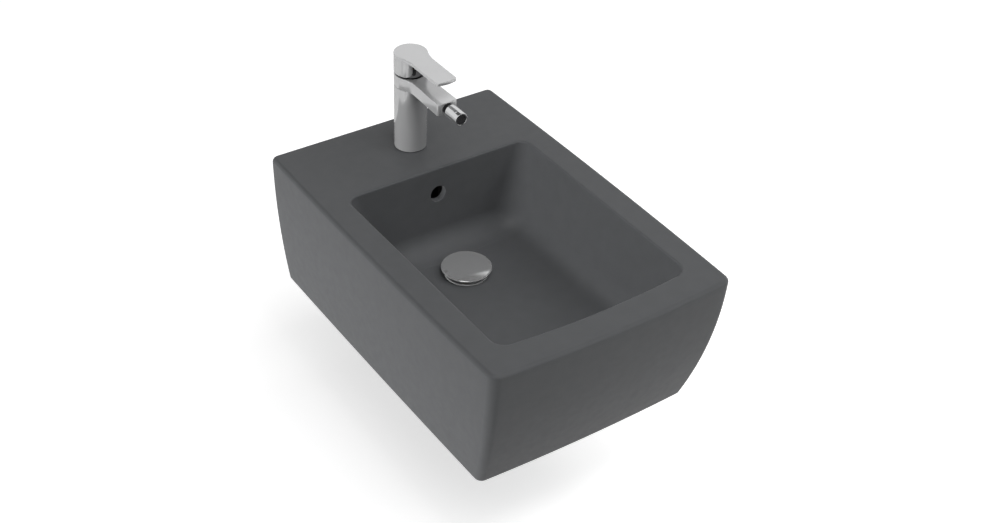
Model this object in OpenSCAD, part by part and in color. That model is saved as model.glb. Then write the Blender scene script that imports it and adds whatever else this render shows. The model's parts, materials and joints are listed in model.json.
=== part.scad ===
// Wall-hung bidet with a single-lever tap, a swivelling nozzle and a push-open waste.
// Millimetres. The wall is the plane y = 0 and the bidet reaches out along -Y. The origin lies midway
// between the two wall fixings, and every module works from the rim, which placed() lifts to its height.

/* [Ceramic body] */
// Width across the rim
body_w = 375; // [350:1:400]
// Projection from the wall to the middle of the front
body_l = 560; // [530:1:590]
// Height from the open underside to the rim
body_h = 219; // [212:1:240]
// Thickness of the cast walls
wall_t = 12; // [10:0.5:14]
// Thickness of the deck and rim
deck_t = 14; // [12:0.5:17]
// Thickness of the back wall
back_wall_t = 14; // [12:0.5:18]
// Plan radius of the upright front corners at the rim
front_corner_r = 13.5; // [10:0.5:20]
// Plan radius of the same corners at the underside
front_low_corner_r = 10; // [9:0.5:20]
// Plan radius of the upright corners at the wall
back_corner_r = 4; // [2:0.5:7]
// Radius of the rim's outer edge
top_edge_r = 5.7; // [3:0.1:8]
// Radius of the lower edge
bottom_edge_r = 5; // [3:0.5:8]
// How far each side leans in by the underside
side_lean = 20; // [0:1:26]
// How far the front leans in by the underside
front_lean = 50.5; // [0:0.5:60]
// How far the front bows out between its corners, at the rim
front_bow = 7.5; // [0:0.5:12]
// How far the front bows out between its corners, at the underside
front_low_bow = 4; // [0:0.5:12]
// How far each side bows out along its length, at the rim
side_bow = 3.5; // [0:0.1:6]
// How far each side bows out along its length, at the underside
side_low_bow = 1.5; // [0:0.1:6]
// Width of the lip turned in round the open underside
lip_w = 14; // [8:1:20]
// Thickness of that lip
lip_t = 11; // [8:0.5:14]

/* [Bowl] */
// Width of the rim along each side
side_rim_w = 41.7; // [38:0.1:48]
// Width of the rim along the front
front_rim_w = 44.6; // [40:0.1:55]
// Depth of the tap deck, from the wall to the bowl
deck_l = 142.3; // [136:0.1:146]
// How far the bowl's front edge bows out
bowl_bow = 8.4; // [0:0.1:12]
// Depth from the rim to the floor round the waste
bowl_depth = 131; // [124:1:136]
// Rise of the floor from the waste to the foot of the walls
floor_rise = 7; // [4:0.5:14]
// How much lower the foot of the back wall lies than that of the front wall
back_fall = 6; // [0:0.5:6.5]
// Radius of the rim's inner edge
inner_edge_r = 3; // [2:0.1:5]
// Plan radius of the bowl's corners at the rim
bowl_corner_r = 16; // [12:0.5:24]
// Plan radius of the bowl's corners at the foot of the walls
bowl_foot_corner_r = 42; // [34:1:52]
// Radius between the walls and the floor
foot_r = 34; // [24:1:40]
// Lean of the bowl's side walls, in degrees
side_draft = 7; // [3:0.5:9]
// Lean of the bowl's back wall, in degrees
back_draft = 3; // [1:0.5:5]
// Lean of the bowl's front wall, in degrees
front_draft = 9; // [3:0.5:12]
// Drop from the rim to the middle of the overflow hole
overflow_drop = 41.5; // [36:0.5:50]
// Diameter of the overflow hole
overflow_d = 25; // [20:0.5:28]

/* [Wall fixing] */
// Drop from the rim to the fixing rods
fixing_drop = 75; // [70:1:80]
// Distance between the two fixing rods
fixing_w = 180; // [176:1:200]
// Diameter of a fixing rod
rod_d = 12; // [10:1:12]
// Gap round a rod in its sleeve
rod_gap = 0.5; // [0.3:0.1:0.8]
// Wall of a plastic sleeve
sleeve_wall = 3; // [2:0.5:4]
// Diameter of the ceramic boss round each fixing
fixing_boss_d = 46; // [42:1:50]
// Length of that boss inside the back wall
fixing_boss_l = 12; // [8:1:16]
// Width of the trap opening in the back wall
trap_opening_w = 120; // [100:1:125]
// Height of the trap opening above the underside
trap_opening_h = 104; // [90:1:108]

/* [Tap body] */
// Distance from the wall to the tap's axis
tap_from_wall = 70; // [66:1:76]
// Diameter of the tap hole in the deck
tap_hole_d = 35; // [34:0.5:37]
// Diameter of the column
column_d = 46.4; // [46:0.1:48]
// Height of the column up to the collar's groove
column_h = 98.8; // [90:0.2:110]
// Height of the collar and of the spout bar
collar_h = 18.2; // [17.6:0.2:20]
// Wall of the hollow column
column_wall = 3.5; // [3:0.1:4]
// Reach of the spout from the axis to its end face
spout_reach = 95; // [85:1:110]
// Width of the spout where it leaves the collar
spout_neck_w = 28.4; // [26:0.2:30]
// Width of the spout at its end
spout_tip_w = 31; // [29:0.2:33]
// Radius of the hollow between collar and spout
spout_blend_r = 40; // [30:1:50]
// Diameter of the water way in the spout
spout_bore_d = 7; // [6:0.5:7.5]
// Diameter of the mounting stud
stud_d = 6; // [5:0.5:6]
// Distance between the two supply inlets
inlet_w = 16; // [15:0.5:17]
// Core diameter of the threaded supply inlets
inlet_d = 9; // [8:0.5:9]
// Depth of the threaded supply inlets
inlet_l = 10; // [8:0.5:11]

/* [Handle] */
// Height from the collar's top to the handle's top
handle_rise = 31.5; // [29:0.5:36]
// Gap between the collar and the hub
handle_gap = 3; // [2:0.1:4]
// Diameter of the hub
hub_d = 46.8; // [46.6:0.1:48]
// Wall of the hub
hub_wall = 2.5; // [2:0.1:3]
// Thickness of the lever plate
lever_t = 4.5; // [3.5:0.1:5.5]
// Width of the lever
lever_w = 32; // [28:0.5:36]
// Reach of the lever from the axis to its tip
lever_reach = 94; // [80:1:110]
// Radius of the hollow between hub and lever
lever_blend_r = 60; // [45:1:70]
// Width of the hub's front opening under the lever
hub_opening_w = 20; // [16:0.5:24]
// Radius of the rounded corners beside that opening
hub_opening_r = 10; // [7:0.5:11]
// How far the lever lifts, in degrees
lift_angle = 20; // [14:1:22]

/* [Cartridge] */
// Diameter of the cartridge
cartridge_d = 34.6; // [34:0.1:35]
// Depth of its chamber below the collar's top
chamber_depth = 27.5; // [26.5:0.1:28.5]
// Thickness of the base
base_t = 4; // [3.6:0.1:4.4]
// Thickness of the fixed disc
fixed_disc_t = 3.5; // [3:0.1:3.8]
// Thickness of the moving disc
moving_disc_t = 3; // [2.5:0.1:3.2]
// Thickness of the disc carrier
carrier_t = 4; // [3.6:0.1:4.2]
// Width of the square stem
stem_w = 8; // [7:0.1:8.4]
// Diameter of the stem's pivot pin
pin_d = 3; // [2.5:0.1:3.4]

/* [Nozzle] */
// Outer diameter of the sleeve
nozzle_d = 19; // [18.6:0.1:20]
// Length of the sleeve
nozzle_l = 26.5; // [24:0.5:32]
// Gap between the spout's end face and the sleeve
nozzle_gap = 7; // [6.5:0.1:9]
// Diameter of the ball
ball_d = 14; // [13.4:0.1:14.2]
// How far the nozzle tilts each way, in degrees
nozzle_swing = 15; // [8:1:15]

/* [Waste] */
// Distance from the wall to the waste's axis
drain_from_wall = 220; // [212:1:235]
// Diameter of the hole in the ceramic
drain_hole_d = 46; // [44:0.5:48]
// Diameter of the flange ring
flange_d = 62; // [58:0.5:66]
// Diameter of the threaded waste tube
waste_tube_d = 41.9; // [40:0.1:42]
// Wall of the waste tube
waste_tube_wall = 2; // [1.6:0.1:2.4]
// Diameter of the tailpiece for the trap
tail_d = 32; // [30:0.5:32]
// Wall of the tailpiece
tail_wall = 1.5; // [1:0.1:2]
// Diameter of the cap
cap_d = 72; // [68:0.5:74]
// Thickness of the cap's edge
cap_edge_t = 4; // [3:0.1:5]
// Travel of the cap from open to shut
cap_travel = 7; // [5:0.1:7.5]
// Number of overflow slots in the waste tube
slot_count = 4; // [3:1:6]
// Number of turns of the cap's spring
spring_turns = 8; // [6:1:9]

/* [Hidden] */
$fn = 72;

// Running clearance of metal on metal, loose clearance, and how far a cut runs past what it cuts
fit_gap = 0.05;
loose_gap = 0.3;
overrun = 1;

// Steps round a corner, along the back, sides and front of a level, and up the ceramic's surfaces
corner_steps = 6;
back_steps = 3;
side_steps = 6;
front_steps = 8;
edge_steps = 4;
flank_steps = 7;
foot_steps = 6;
floor_steps = 4;
arc_steps = 12;

// Ceramic: how the lean of the outer walls is shared between a straight and a growing part
side_straight_share = 0.135;
front_straight_share = 0.256;
// Middle and thinned depth of a bowl wall where the overflow duct joins it
mid_wall_share = 0.5;
duct_wall_share = 0.8;
inner_corner_r = 7;
ceramic_grey = [0.34, 0.345, 0.35];
chrome = [0.78, 0.79, 0.8];
brass = [0.78, 0.65, 0.36];
steel = [0.62, 0.63, 0.65];
black = [0.07, 0.07, 0.075];
rubber_grey = [0.13, 0.13, 0.14];
white_plastic = [0.85, 0.85, 0.83];
disc_white = [0.92, 0.92, 0.9];

// Waste levels, downwards from the rim
flange_proud = 1;
flange_t = 3;
top_gasket_t = 1.5;
flange_top_z = flange_proud - bowl_depth;
flange_low_z = flange_top_z - flange_t;
seat_z = flange_low_z - top_gasket_t;
seat_gap = 1;
floor_flat_w = 2;
floor_flat_r = flange_d / 2 + seat_gap + floor_flat_w;
boss_wall = 7;
boss_floor_t = 8;
ring_chamber_h = 13;
ring_chamber_top_z = seat_z - wall_t;
ring_chamber_low_z = ring_chamber_top_z - ring_chamber_h;
boss_low_z = ring_chamber_low_z - boss_floor_t;
ring_chamber_w = 8;
ring_chamber_r = drain_hole_d / 2 + ring_chamber_w;
boss_r = ring_chamber_r + boss_wall;

// Overflow duct
duct_w = 50;
duct_d = 22;
duct_wall = 6;
duct_rise = 20;
duct_back_y = wall_t + duct_d - deck_l;

// Tap levels, upwards from the deck
foot_gasket_t = 1;
groove_h = 0.7;
groove_d = 0.4;
column_r = column_d / 2;
hub_r = hub_d / 2;
collar_top_z = column_h + collar_h;
spout_mid_z = column_h + collar_h / 2;
spout_low_z = column_h + groove_h;
chamber_z = collar_top_z - chamber_depth;
chamber_r = cartridge_d / 2 + 3 * loose_gap;
chamber_floor_t = 12;
dome_flange_t = 1.5;
chamber_ledge_w = 1.7;
dome_ledge_w = 1.2;
dome_ledge_r = chamber_r + chamber_ledge_w;
dome_flange_r = dome_ledge_r + dome_ledge_w;
nut_seat_depth = 8;
spout_corner_r = 3;
spout_end_bow = 1;
stud_from_axis = 14;
stud_lug_r = 6;
stud_lug_h = 24;
inlet_forward = 4;
channel_d = 8;

// Clamp under the deck
clamp_r = 24;
clamp_opening_r = 13.5;
clamp_opening_forward = 5;
clamp_gasket_t = 3;
clamp_plate_t = 3;
clamp_nut_h = 6;
clamp_nut_r = 5.8;
stud_below = 10;
stud_hole_end = 1;
stud_in_lug = 22;

// Cartridge levels, upwards
seal_proud = 0.4;
base_z = chamber_z + seal_proud;
fixed_disc_z = base_z + base_t;
moving_disc_z = fixed_disc_z + fixed_disc_t + fit_gap;
carrier_z = moving_disc_z + moving_disc_t;
spindle_z = carrier_z + carrier_t + fit_gap;
spindle_flange_t = 2.6;
housing_top_t = 2.6;
housing_wall = 1.5;
housing_inner_z = spindle_z + spindle_flange_t + 2 * fit_gap;
shoulder_z = housing_inner_z + housing_top_t;
neck_r = 13;
neck_h = 6.6;
spindle_r = 11;
spindle_rise = 7.4;
pivot_above_shoulder = 2.4;
pivot_z = shoulder_z + pivot_above_shoulder;
nut_t = 4.6;
nut_slot_w = 2;
nut_slot_wall = 1;
pin_inset = 1;
housing_inner_r = cartridge_d / 2 - housing_wall;
moving_disc_r = 11;
carrier_r = 11.8;
stem_ball_r = 2.8;
stem_ball_z = carrier_z + stem_ball_r + loose_gap;
spindle_slot_l = 14.4;
port_r = 2.8;
seal_r = 5.6;
seal_wall = 1.4;
seal_h = 1.4;
outlet_port_back = 8;
handle_top_z = collar_top_z + handle_rise;
handle_low_z = collar_top_z + handle_gap;
plate_low_z = handle_top_z - lever_t;
stem_top_gap = 2;
stem_top_z = plate_low_z - stem_top_gap;
hub_boss_r = 8.5;
hub_boss_drop = 14;
dome_r = 18;
dome_wall = 1.4;
dome_hole_r = 11.3;
lever_corner_r = 4.5;
lever_end_bow = 1.5;
lift_clearance = 0.6;
grub_d = 5;
grub_socket_d = 2.5;
grub_socket_l = 1;
grub_below_plate = 7;

// Nozzle, outwards along -Y from the spout's end face
ball_r = ball_d / 2;
ball_neck_r = 3;
stud_recess_r = 8.5;
stud_recess_d = 3;
stud_gasket_t = 0.8;
stud_flange_r = 7.4;
stud_thread_r = 4.8;
stud_thread_l = 9;
stud_thread_gap = 1;
ball_seal_t = 1;
ball_seal_half_angle = 28;
socket_r = ball_r + ball_seal_t + 2 * fit_gap;
sleeve_mouth_angle = 50;
ball_out = nozzle_gap + socket_r * cos(sleeve_mouth_angle);
aerator_r = 7.8;
aerator_l = 9.5;
aerator_inset = 0.5;
aerator_washer_t = 1.5;
nozzle_way_r = 5.6;
insert_way_r = 4.6;
ball_way_r = 1.8;
jet_r = 0.6;
jet_pitch = 1.8;
jet_rows = 2;
jet_plate_t = 1.2;
jet_recess = 0.8;
jet_rim = 1.3;

// Waste fittings below the ceramic
tube_r = waste_tube_d / 2;
tube_bore_r = tube_r - waste_tube_wall;
tube_l = 57;
tube_low_z = flange_low_z - tube_l;
flange_r = flange_d / 2;
flange_rim_w = 3;
bottom_gasket_t = 5;
gasket_wide_r = 29;
waste_nut_h = 8;
waste_nut_r = 29;
tail_gasket_t = 2;
tail_flange_t = 2.5;
tail_nut_lip_t = 3;
tail_nut_wall = 4;
tail_nut_overlap = 8;
tail_l = 24;
tail_step = 0.3;
tail_step_below_nut = 1;
slot_w = 12;
slot_h = 7;

// Plug, downwards from its cap
cap_rise = 12;
cap_top_z = flange_top_z + cap_rise;
cap_plate_t = 3;
cap_bevel = 1.2;
cap_skirt_w = 5;
cap_skirt_taper = 1;
cap_boss_r = 9;
cap_boss_h = 3;
cap_seal_low_r = 22.5;
cap_seal_r = 26;
cap_stem_r = 4;
cage_h = 9;
cage_gap = 4;
cage_hub_r = 8;
cage_ring_w = 3;
cage_arm_w = 4;
cage_z = ring_chamber_low_z - cage_gap - cage_h;
spring_r = 6.2;
spring_wire_r = 0.8;
spring_sides = 6;
spring_steps = 14;

// Wall fixing
sleeve_r = rod_d / 2 + rod_gap + sleeve_wall;
sleeve_flange_w = 4;
sleeve_flange_r = sleeve_r + sleeve_flange_w;
sleeve_flange_t = 2;
washer_r = 16;
washer_t = 3;
fixing_nut_r = 11;
fixing_nut_h = 10;
nut_thread_gap = 0.2;
fixing_inner_y = -(back_wall_t + fixing_boss_l);
trap_opening_r = 18;

// Helpers

module placed() {
    translate([0, 0, fixing_drop]) children();
}

module at_tap() {
    translate([0, -tap_from_wall, 0]) children();
}

module at_drain() {
    translate([0, -drain_from_wall, 0]) children();
}

// Along -Y from the tap's axis at the height of the nozzle
module along_spout(out) {
    translate([0, -out, spout_mid_z]) rotate([90, 0, 0]) children();
}

module ring(outer_r, inner_r, h) {
    difference() {
        cylinder(r = outer_r, h = h);
        translate([0, 0, -overrun]) cylinder(r = inner_r, h = h + 2 * overrun);
    }
}

module drill(r, z_low, z_high) {
    translate([0, 0, z_low]) cylinder(r = r, h = z_high - z_low);
}

function arc(cx, cy, r, from, to, steps) =
    [for (i = [0:steps]) let (a = from + (to - from) * i / steps) [cx + r * cos(a), cy + r * sin(a)]];

function reversed(list) = [for (i = [len(list) - 1:-1:0]) list[i]];

function mirrored(points) = [for (p = reversed(points)) [-p[0], p[1]]];

function clamped(v, low, high) = min(max(v, low), high);

// Outline of a round hub that flows into a bar along -Y through two hollow curves
function key_outline(hub, neck, tip, reach, blend, corner_r, bow) =
    let (
        blend_x = neck + blend,
        blend_y = -sqrt(pow(hub + blend, 2) - pow(blend_x, 2)),
        meet = atan2(blend_y, blend_x),
        flat = tip - corner_r,
        end_edge = [for (i = [1:front_steps - 1]) let (u = i / front_steps) [flat * u, bow * u * u - reach]],
        right = concat(
            end_edge,
            arc(flat, corner_r + bow - reach, corner_r, -90, 0, corner_steps),
            arc(blend_x, blend_y, blend, 180, 180 + meet, arc_steps),
            arc(0, 0, hub, meet + 90 / arc_steps, 90 - 90 / arc_steps, 2 * arc_steps)
        )
    )
    concat([[0, -reach]], right, [[0, hub]], mirrored(right));

// Ceramic surfaces

function straight(p, q, steps) = [for (i = [1:steps - 1]) p + (q - p) * i / steps];

// A level is [half width, back y, front y, back corner radius, front corner radius, front bow, side bow, z,
// back fall]. Its plain form is a rounded rectangle, and its front and sides then bow out.
function plain_level(s) =
    let (w = s[0], yb = s[1], yf = s[2], rb = s[3], rf = s[4])
    concat(
        arc(w - rb, yb - rb, rb, 0, 90, corner_steps),
        straight([w - rb, yb], [rb - w, yb], back_steps),
        arc(rb - w, yb - rb, rb, 90, 180, corner_steps),
        straight([-w, yb - rb], [-w, yf + rf], side_steps),
        arc(rf - w, yf + rf, rf, 180, 270, corner_steps),
        straight([rf - w, yf], [w - rf, yf], front_steps),
        arc(w - rf, yf + rf, rf, 270, 360, corner_steps),
        straight([w, yf + rf], [w, yb - rb], side_steps)
    );

function level_points(s) =
    let (mid = (s[1] + s[2]) / 2, half = (s[1] - s[2]) / 2)
    [for (p = plain_level(s))
        let (u = p[0] / s[0], v = (mid - p[1]) / half)
        [p[0] - s[6] * u * v * v, p[1] + s[5] * u * u * max(v, 0), s[7] - s[8] * (1 - v) / 2]];

function blended(a, b, t) = a + (b - a) * t;

// Outer wall at a drop below the rim, pulled in by an inset and thinned by a wall
function leaned(total, share, t) = total * (share * t + (1 - share) * t * t);

function outer_level(drop, inset, wall) =
    let (
        t = drop / body_h,
        corner = wall > 0 ? inner_corner_r : blended(front_corner_r, front_low_corner_r, t) - inset
    )
    [
        body_w / 2 - leaned(side_lean, side_straight_share, t) - inset - wall,
        wall > 0 ? -back_wall_t - inset : 0,
        leaned(front_lean, front_straight_share, t) + inset + wall - body_l,
        wall > 0 ? inner_corner_r : back_corner_r,
        corner,
        blended(front_bow, front_low_bow, t),
        blended(side_bow, side_low_bow, t),
        -drop,
        0
    ];

// Bowl skin: t is the distance behind the glazed surface
wall_foot_drop = bowl_depth - floor_rise - foot_r;
edge_half_r = inner_edge_r / 2;

function fall_at(drop) = back_fall * pow(clamped((drop - deck_t) / (wall_foot_drop - deck_t), 0, 1), 2);

function bowl_level(drop, inset, grow, z) =
    let (depth_share = clamped(drop / wall_foot_drop, 0, 1))
    [
        body_w / 2 - side_rim_w - drop * tan(side_draft) - inset + grow,
        -deck_l - drop * tan(back_draft) - inset + grow,
        front_rim_w - body_l + drop * tan(front_draft) + inset - grow,
        blended(bowl_corner_r, bowl_foot_corner_r, depth_share) + grow,
        blended(bowl_corner_r, bowl_foot_corner_r, depth_share) + grow,
        bowl_bow,
        0,
        z,
        fall_at(drop)
    ];

function foot_level(a, t) =
    bowl_level(wall_foot_drop, foot_r - (foot_r + t) * cos(a), 0, -wall_foot_drop - (foot_r + t) * sin(a));

function drain_level(t) =
    let (r = floor_flat_r + t)
    [r, r - drain_from_wall, -r - drain_from_wall, r, r, 0, 0, -bowl_depth - t, 0];

function bowl_skin(t, top_drop) = concat(
    [for (i = [0:floor_steps - 1]) blended(drain_level(t), foot_level(90, t), i / floor_steps)],
    [for (i = [0:foot_steps]) foot_level(90 * (1 - i / foot_steps), t)],
    [for (i = [1:edge_steps])
        let (drop = blended(wall_foot_drop, top_drop, i / edge_steps)) bowl_level(drop, 0, t, -drop)]
);

function rim_edge() = [for (i = [1:edge_steps])
    let (a = 90 * i / edge_steps)
    bowl_level(inner_edge_r, -inner_edge_r * (1 - cos(a)), 0, -inner_edge_r * (1 - sin(a)))];

function top_edge() = [for (i = [0:edge_steps])
    let (a = 90 * i / edge_steps, drop = top_edge_r * (1 - cos(a)))
    outer_level(drop, top_edge_r * (1 - sin(a)), 0)];

function flank() = [for (i = [1:flank_steps])
    outer_level(blended(top_edge_r, body_h - bottom_edge_r, i / flank_steps), 0, 0)];

function bottom_edge() = [for (i = [1:edge_steps])
    let (a = 90 * i / edge_steps)
    outer_level(body_h - bottom_edge_r * (1 - sin(a)), bottom_edge_r * (1 - cos(a)), 0)];

function inner_wall() = concat(
    [outer_level(body_h, lip_w, wall_t), outer_level(body_h - lip_t, lip_w, wall_t)],
    [for (i = [0:edge_steps]) outer_level(blended(body_h - lip_t, deck_t, i / edge_steps), 0, wall_t)]
);

ceramic_levels = concat(
    bowl_skin(0, inner_edge_r),
    rim_edge(),
    top_edge(),
    flank(),
    bottom_edge(),
    inner_wall(),
    reversed(bowl_skin(wall_t, deck_t))
);

// One closed skin through all levels, from the bowl's floor over the rim and back under the bowl
module skin(levels) {
    rings = [for (s = levels) level_points(s)];
    n = len(rings[0]);
    points = [for (r = rings) each r];
    sides = [for (i = [0:len(rings) - 2], j = [0:n - 1])
        let (a = i * n + j, b = i * n + (j + 1) % n)
        each [[a, b, b + n], [a, b + n, a + n]]];
    first = [for (j = [n - 1:-1:0]) j];
    last = [for (j = [0:n - 1]) (len(rings) - 1) * n + j];
    polyhedron(points = points, faces = concat([first], sides, [last]), convexity = 10);
}

// Side view of the overflow duct: outer or inner face, set back behind the bowl's glazed surface
function behind_wall(drop, depth) = [depth - deck_l - drop * tan(back_draft), -drop - fall_at(drop)];

function duct_outline(depth, inset, low_z, front_y, floor_z) =
    let (centre_y = -deck_l - wall_foot_drop * tan(back_draft) - foot_r)
    concat(
        [behind_wall(duct_rise + inset, depth), [duct_back_y - inset, -duct_rise - inset]],
        [[duct_back_y - inset, low_z + duct_wall], [duct_back_y - inset - duct_wall, low_z]],
        [[front_y, low_z], [front_y, floor_z]],
        arc(centre_y, -wall_foot_drop - back_fall, foot_r + depth, -90, 0, corner_steps)
    );

module side_extrude(points, w) {
    translate([w / 2, 0, 0]) rotate([90, 0, -90]) linear_extrude(w)
        polygon([for (p = points) [-p[0], p[1]]]);
}

module fixing_pair() {
    for (side = [-1, 1]) {
        translate([side * fixing_w / 2, 0, -fixing_drop]) rotate([90, 0, 0]) children();
    }
}

module trap_opening() {
    half = trap_opening_w / 2;
    top = trap_opening_h - body_h;
    outline = concat(
        arc(half - trap_opening_r, top - trap_opening_r, trap_opening_r, 0, 90, corner_steps),
        arc(trap_opening_r - half, top - trap_opening_r, trap_opening_r, 90, 180, corner_steps),
        [[-half, -body_h - overrun], [half, -body_h - overrun]]
    );
    translate([0, overrun, 0]) rotate([90, 0, 0])
        linear_extrude(back_wall_t + lip_w + 2 * overrun) polygon(outline);
}

module ceramic_body() {
    mid_depth = wall_t * mid_wall_share;
    thin_depth = wall_t * duct_wall_share;
    color(ceramic_grey) placed() difference() {
        union() {
            skin(ceramic_levels);
            at_drain() drill(boss_r, boss_low_z, seat_z - overrun);
            side_extrude(
                duct_outline(mid_depth, 0, boss_low_z, -drain_from_wall, -bowl_depth - mid_depth), duct_w
            );
            fixing_pair() translate([0, 0, back_wall_t - overrun])
                cylinder(d = fixing_boss_d, h = fixing_boss_l + overrun);
        }
        side_extrude(
            duct_outline(
                thin_depth, duct_wall, ring_chamber_low_z, ring_chamber_r / 2 - drain_from_wall,
                ring_chamber_top_z
            ),
            duct_w - 2 * duct_wall
        );
        at_drain() drill(ring_chamber_r, ring_chamber_low_z, ring_chamber_top_z);
        at_drain() drill(drain_hole_d / 2, boss_low_z - overrun, -bowl_depth + overrun);
        at_drain() drill(flange_r + seat_gap, seat_z, -bowl_depth + overrun);
        at_tap() drill(tap_hole_d / 2, -deck_t - overrun, overrun);
        translate([0, duct_wall + wall_t - deck_l, -overflow_drop]) rotate([90, 0, 0])
            cylinder(d = overflow_d, h = 2 * wall_t + duct_wall);
        fixing_pair() translate([0, 0, -overrun])
            cylinder(r = sleeve_r + fit_gap, h = back_wall_t + fixing_boss_l + 2 * overrun);
        trap_opening();
    }
}

// Wall fixing

module fixing_sleeves() {
    color(white_plastic) placed() fixing_pair() {
        ring(sleeve_r, rod_d / 2 + rod_gap, -fixing_inner_y);
        translate([0, 0, -fixing_inner_y]) ring(sleeve_flange_r, rod_d / 2 + rod_gap, sleeve_flange_t);
    }
}

module fixing_washers() {
    color(steel) placed() fixing_pair() translate([0, 0, sleeve_flange_t - fixing_inner_y])
        ring(washer_r, rod_d / 2 + rod_gap, washer_t);
}

module fixing_nuts() {
    color(steel) placed() fixing_pair() translate([0, 0, sleeve_flange_t + washer_t - fixing_inner_y])
        difference() {
            cylinder(r = fixing_nut_r, h = fixing_nut_h, $fn = 6);
            drill(rod_d / 2 + nut_thread_gap, -overrun, fixing_nut_h + overrun);
        }
}

// Tap

module inlet_pair() {
    for (side = [-1, 1]) {
        translate([side * inlet_w / 2, -inlet_forward, 0]) children();
    }
}

module spout_bar() {
    translate([0, 0, spout_low_z]) linear_extrude(collar_top_z - spout_low_z)
        polygon(key_outline(
            column_r, spout_neck_w / 2, spout_tip_w / 2, spout_reach, spout_blend_r, spout_corner_r,
            spout_end_bow
        ));
}

module tap_body() {
    socket_z = chamber_z - chamber_floor_t;
    color(chrome) placed() at_tap() difference() {
        union() {
            difference() {
                union() {
                    drill(column_r, foot_gasket_t, column_h);
                    drill(column_r - groove_d, column_h, spout_low_z);
                    spout_bar();
                }
                drill(column_r - column_wall, foot_gasket_t - overrun, socket_z);
            }
            intersection() {
                translate([0, stud_from_axis, 0]) drill(stud_lug_r, foot_gasket_t, stud_lug_h);
                drill(column_r, foot_gasket_t, stud_lug_h);
            }
        }
        drill(chamber_r, chamber_z, collar_top_z + overrun);
        drill(dome_ledge_r, collar_top_z - nut_seat_depth, collar_top_z + overrun);
        drill(dome_flange_r + fit_gap, collar_top_z - dome_flange_t, collar_top_z + overrun);
        inlet_pair() drill(inlet_d / 2, socket_z - overrun, socket_z + inlet_l);
        inlet_pair() drill(channel_d / 2, socket_z, chamber_z + overrun);
        translate([0, stud_from_axis, 0]) drill(stud_d / 2 + fit_gap, 0, stud_lug_h - stud_hole_end);
        along_spout(0) translate([0, -collar_h / 2 + spout_bore_d, 0])
            drill(spout_bore_d / 2, chamber_r - overrun, spout_reach - stud_thread_l);
        along_spout(0) drill(stud_thread_r + fit_gap, spout_reach - stud_thread_l - stud_recess_d, spout_reach);
        along_spout(0) drill(stud_recess_r, spout_reach - stud_recess_d, spout_reach + overrun);
    }
}

module base_gasket() {
    color(black) placed() at_tap() ring(column_r - groove_d, column_r - column_wall, foot_gasket_t);
}

module mounting_stud() {
    clamp_low = deck_t + clamp_gasket_t + clamp_plate_t + clamp_nut_h;
    color(steel) placed() at_tap() translate([0, stud_from_axis, 0])
        drill(stud_d / 2, -clamp_low - stud_below, stud_in_lug);
}

// Horseshoe that leaves room for the supply hoses and takes the stud at the back
module horseshoe(z_low, t) {
    translate([0, 0, z_low]) difference() {
        cylinder(r = clamp_r, h = t);
        translate([0, -clamp_opening_forward, -overrun]) cylinder(r = clamp_opening_r, h = t + 2 * overrun);
        translate([-clamp_opening_r, -clamp_r - overrun, -overrun])
            cube([2 * clamp_opening_r, clamp_r + overrun - clamp_opening_forward, t + 2 * overrun]);
        translate([0, stud_from_axis, -overrun]) cylinder(r = stud_d / 2 + loose_gap, h = t + 2 * overrun);
    }
}

module clamp_gasket() {
    color(rubber_grey) placed() at_tap() horseshoe(-deck_t - clamp_gasket_t, clamp_gasket_t);
}

module clamp_plate() {
    color(steel) placed() at_tap() horseshoe(-deck_t - clamp_gasket_t - clamp_plate_t, clamp_plate_t);
}

module clamp_nut() {
    low = deck_t + clamp_gasket_t + clamp_plate_t + clamp_nut_h;
    color(brass) placed() at_tap() translate([0, stud_from_axis, -low]) difference() {
        cylinder(r = clamp_nut_r, h = clamp_nut_h, $fn = 6);
        drill(stud_d / 2 + fit_gap, -overrun, clamp_nut_h + overrun);
    }
}

// Cartridge

module ports() {
    inlet_pair() children();
    translate([0, outlet_port_back, 0]) children();
}

module cartridge_base() {
    color(white_plastic) placed() at_tap() difference() {
        drill(cartridge_d / 2, base_z, fixed_disc_z);
        ports() drill(port_r, base_z - overrun, fixed_disc_z + overrun);
        ports() drill(seal_r + fit_gap, base_z - overrun, chamber_z + seal_h);
        translate([-port_r, outlet_port_back, base_z - overrun])
            cube([2 * port_r, cartridge_d, base_t / 2 + overrun]);
    }
}

module cartridge_seals() {
    color(black) placed() at_tap() ports() translate([0, 0, chamber_z]) ring(seal_r, seal_r - seal_wall, seal_h);
}

module cartridge_housing() {
    color(white_plastic) placed() at_tap() difference() {
        union() {
            drill(cartridge_d / 2, fixed_disc_z, shoulder_z);
            drill(neck_r, shoulder_z - overrun, shoulder_z + neck_h);
        }
        drill(housing_inner_r, fixed_disc_z - overrun, housing_inner_z);
        drill(spindle_r + fit_gap, housing_inner_z - overrun, shoulder_z + neck_h + overrun);
    }
}

module fixed_disc() {
    color(disc_white) placed() at_tap() difference() {
        drill(housing_inner_r - fit_gap, fixed_disc_z, fixed_disc_z + fixed_disc_t);
        ports() drill(port_r, fixed_disc_z - overrun, fixed_disc_z + fixed_disc_t + overrun);
    }
}

module moving_disc() {
    color(disc_white) placed() at_tap() difference() {
        drill(moving_disc_r, moving_disc_z, moving_disc_z + moving_disc_t);
        translate([0, port_r, 0]) drill(2 * port_r, moving_disc_z - overrun, moving_disc_z + moving_disc_t / 2);
    }
}

module disc_carrier() {
    color(white_plastic) placed() at_tap() difference() {
        drill(carrier_r, carrier_z, carrier_z + carrier_t);
        drill(stem_ball_r + loose_gap, carrier_z - overrun, carrier_z + carrier_t + overrun);
    }
}

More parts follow.
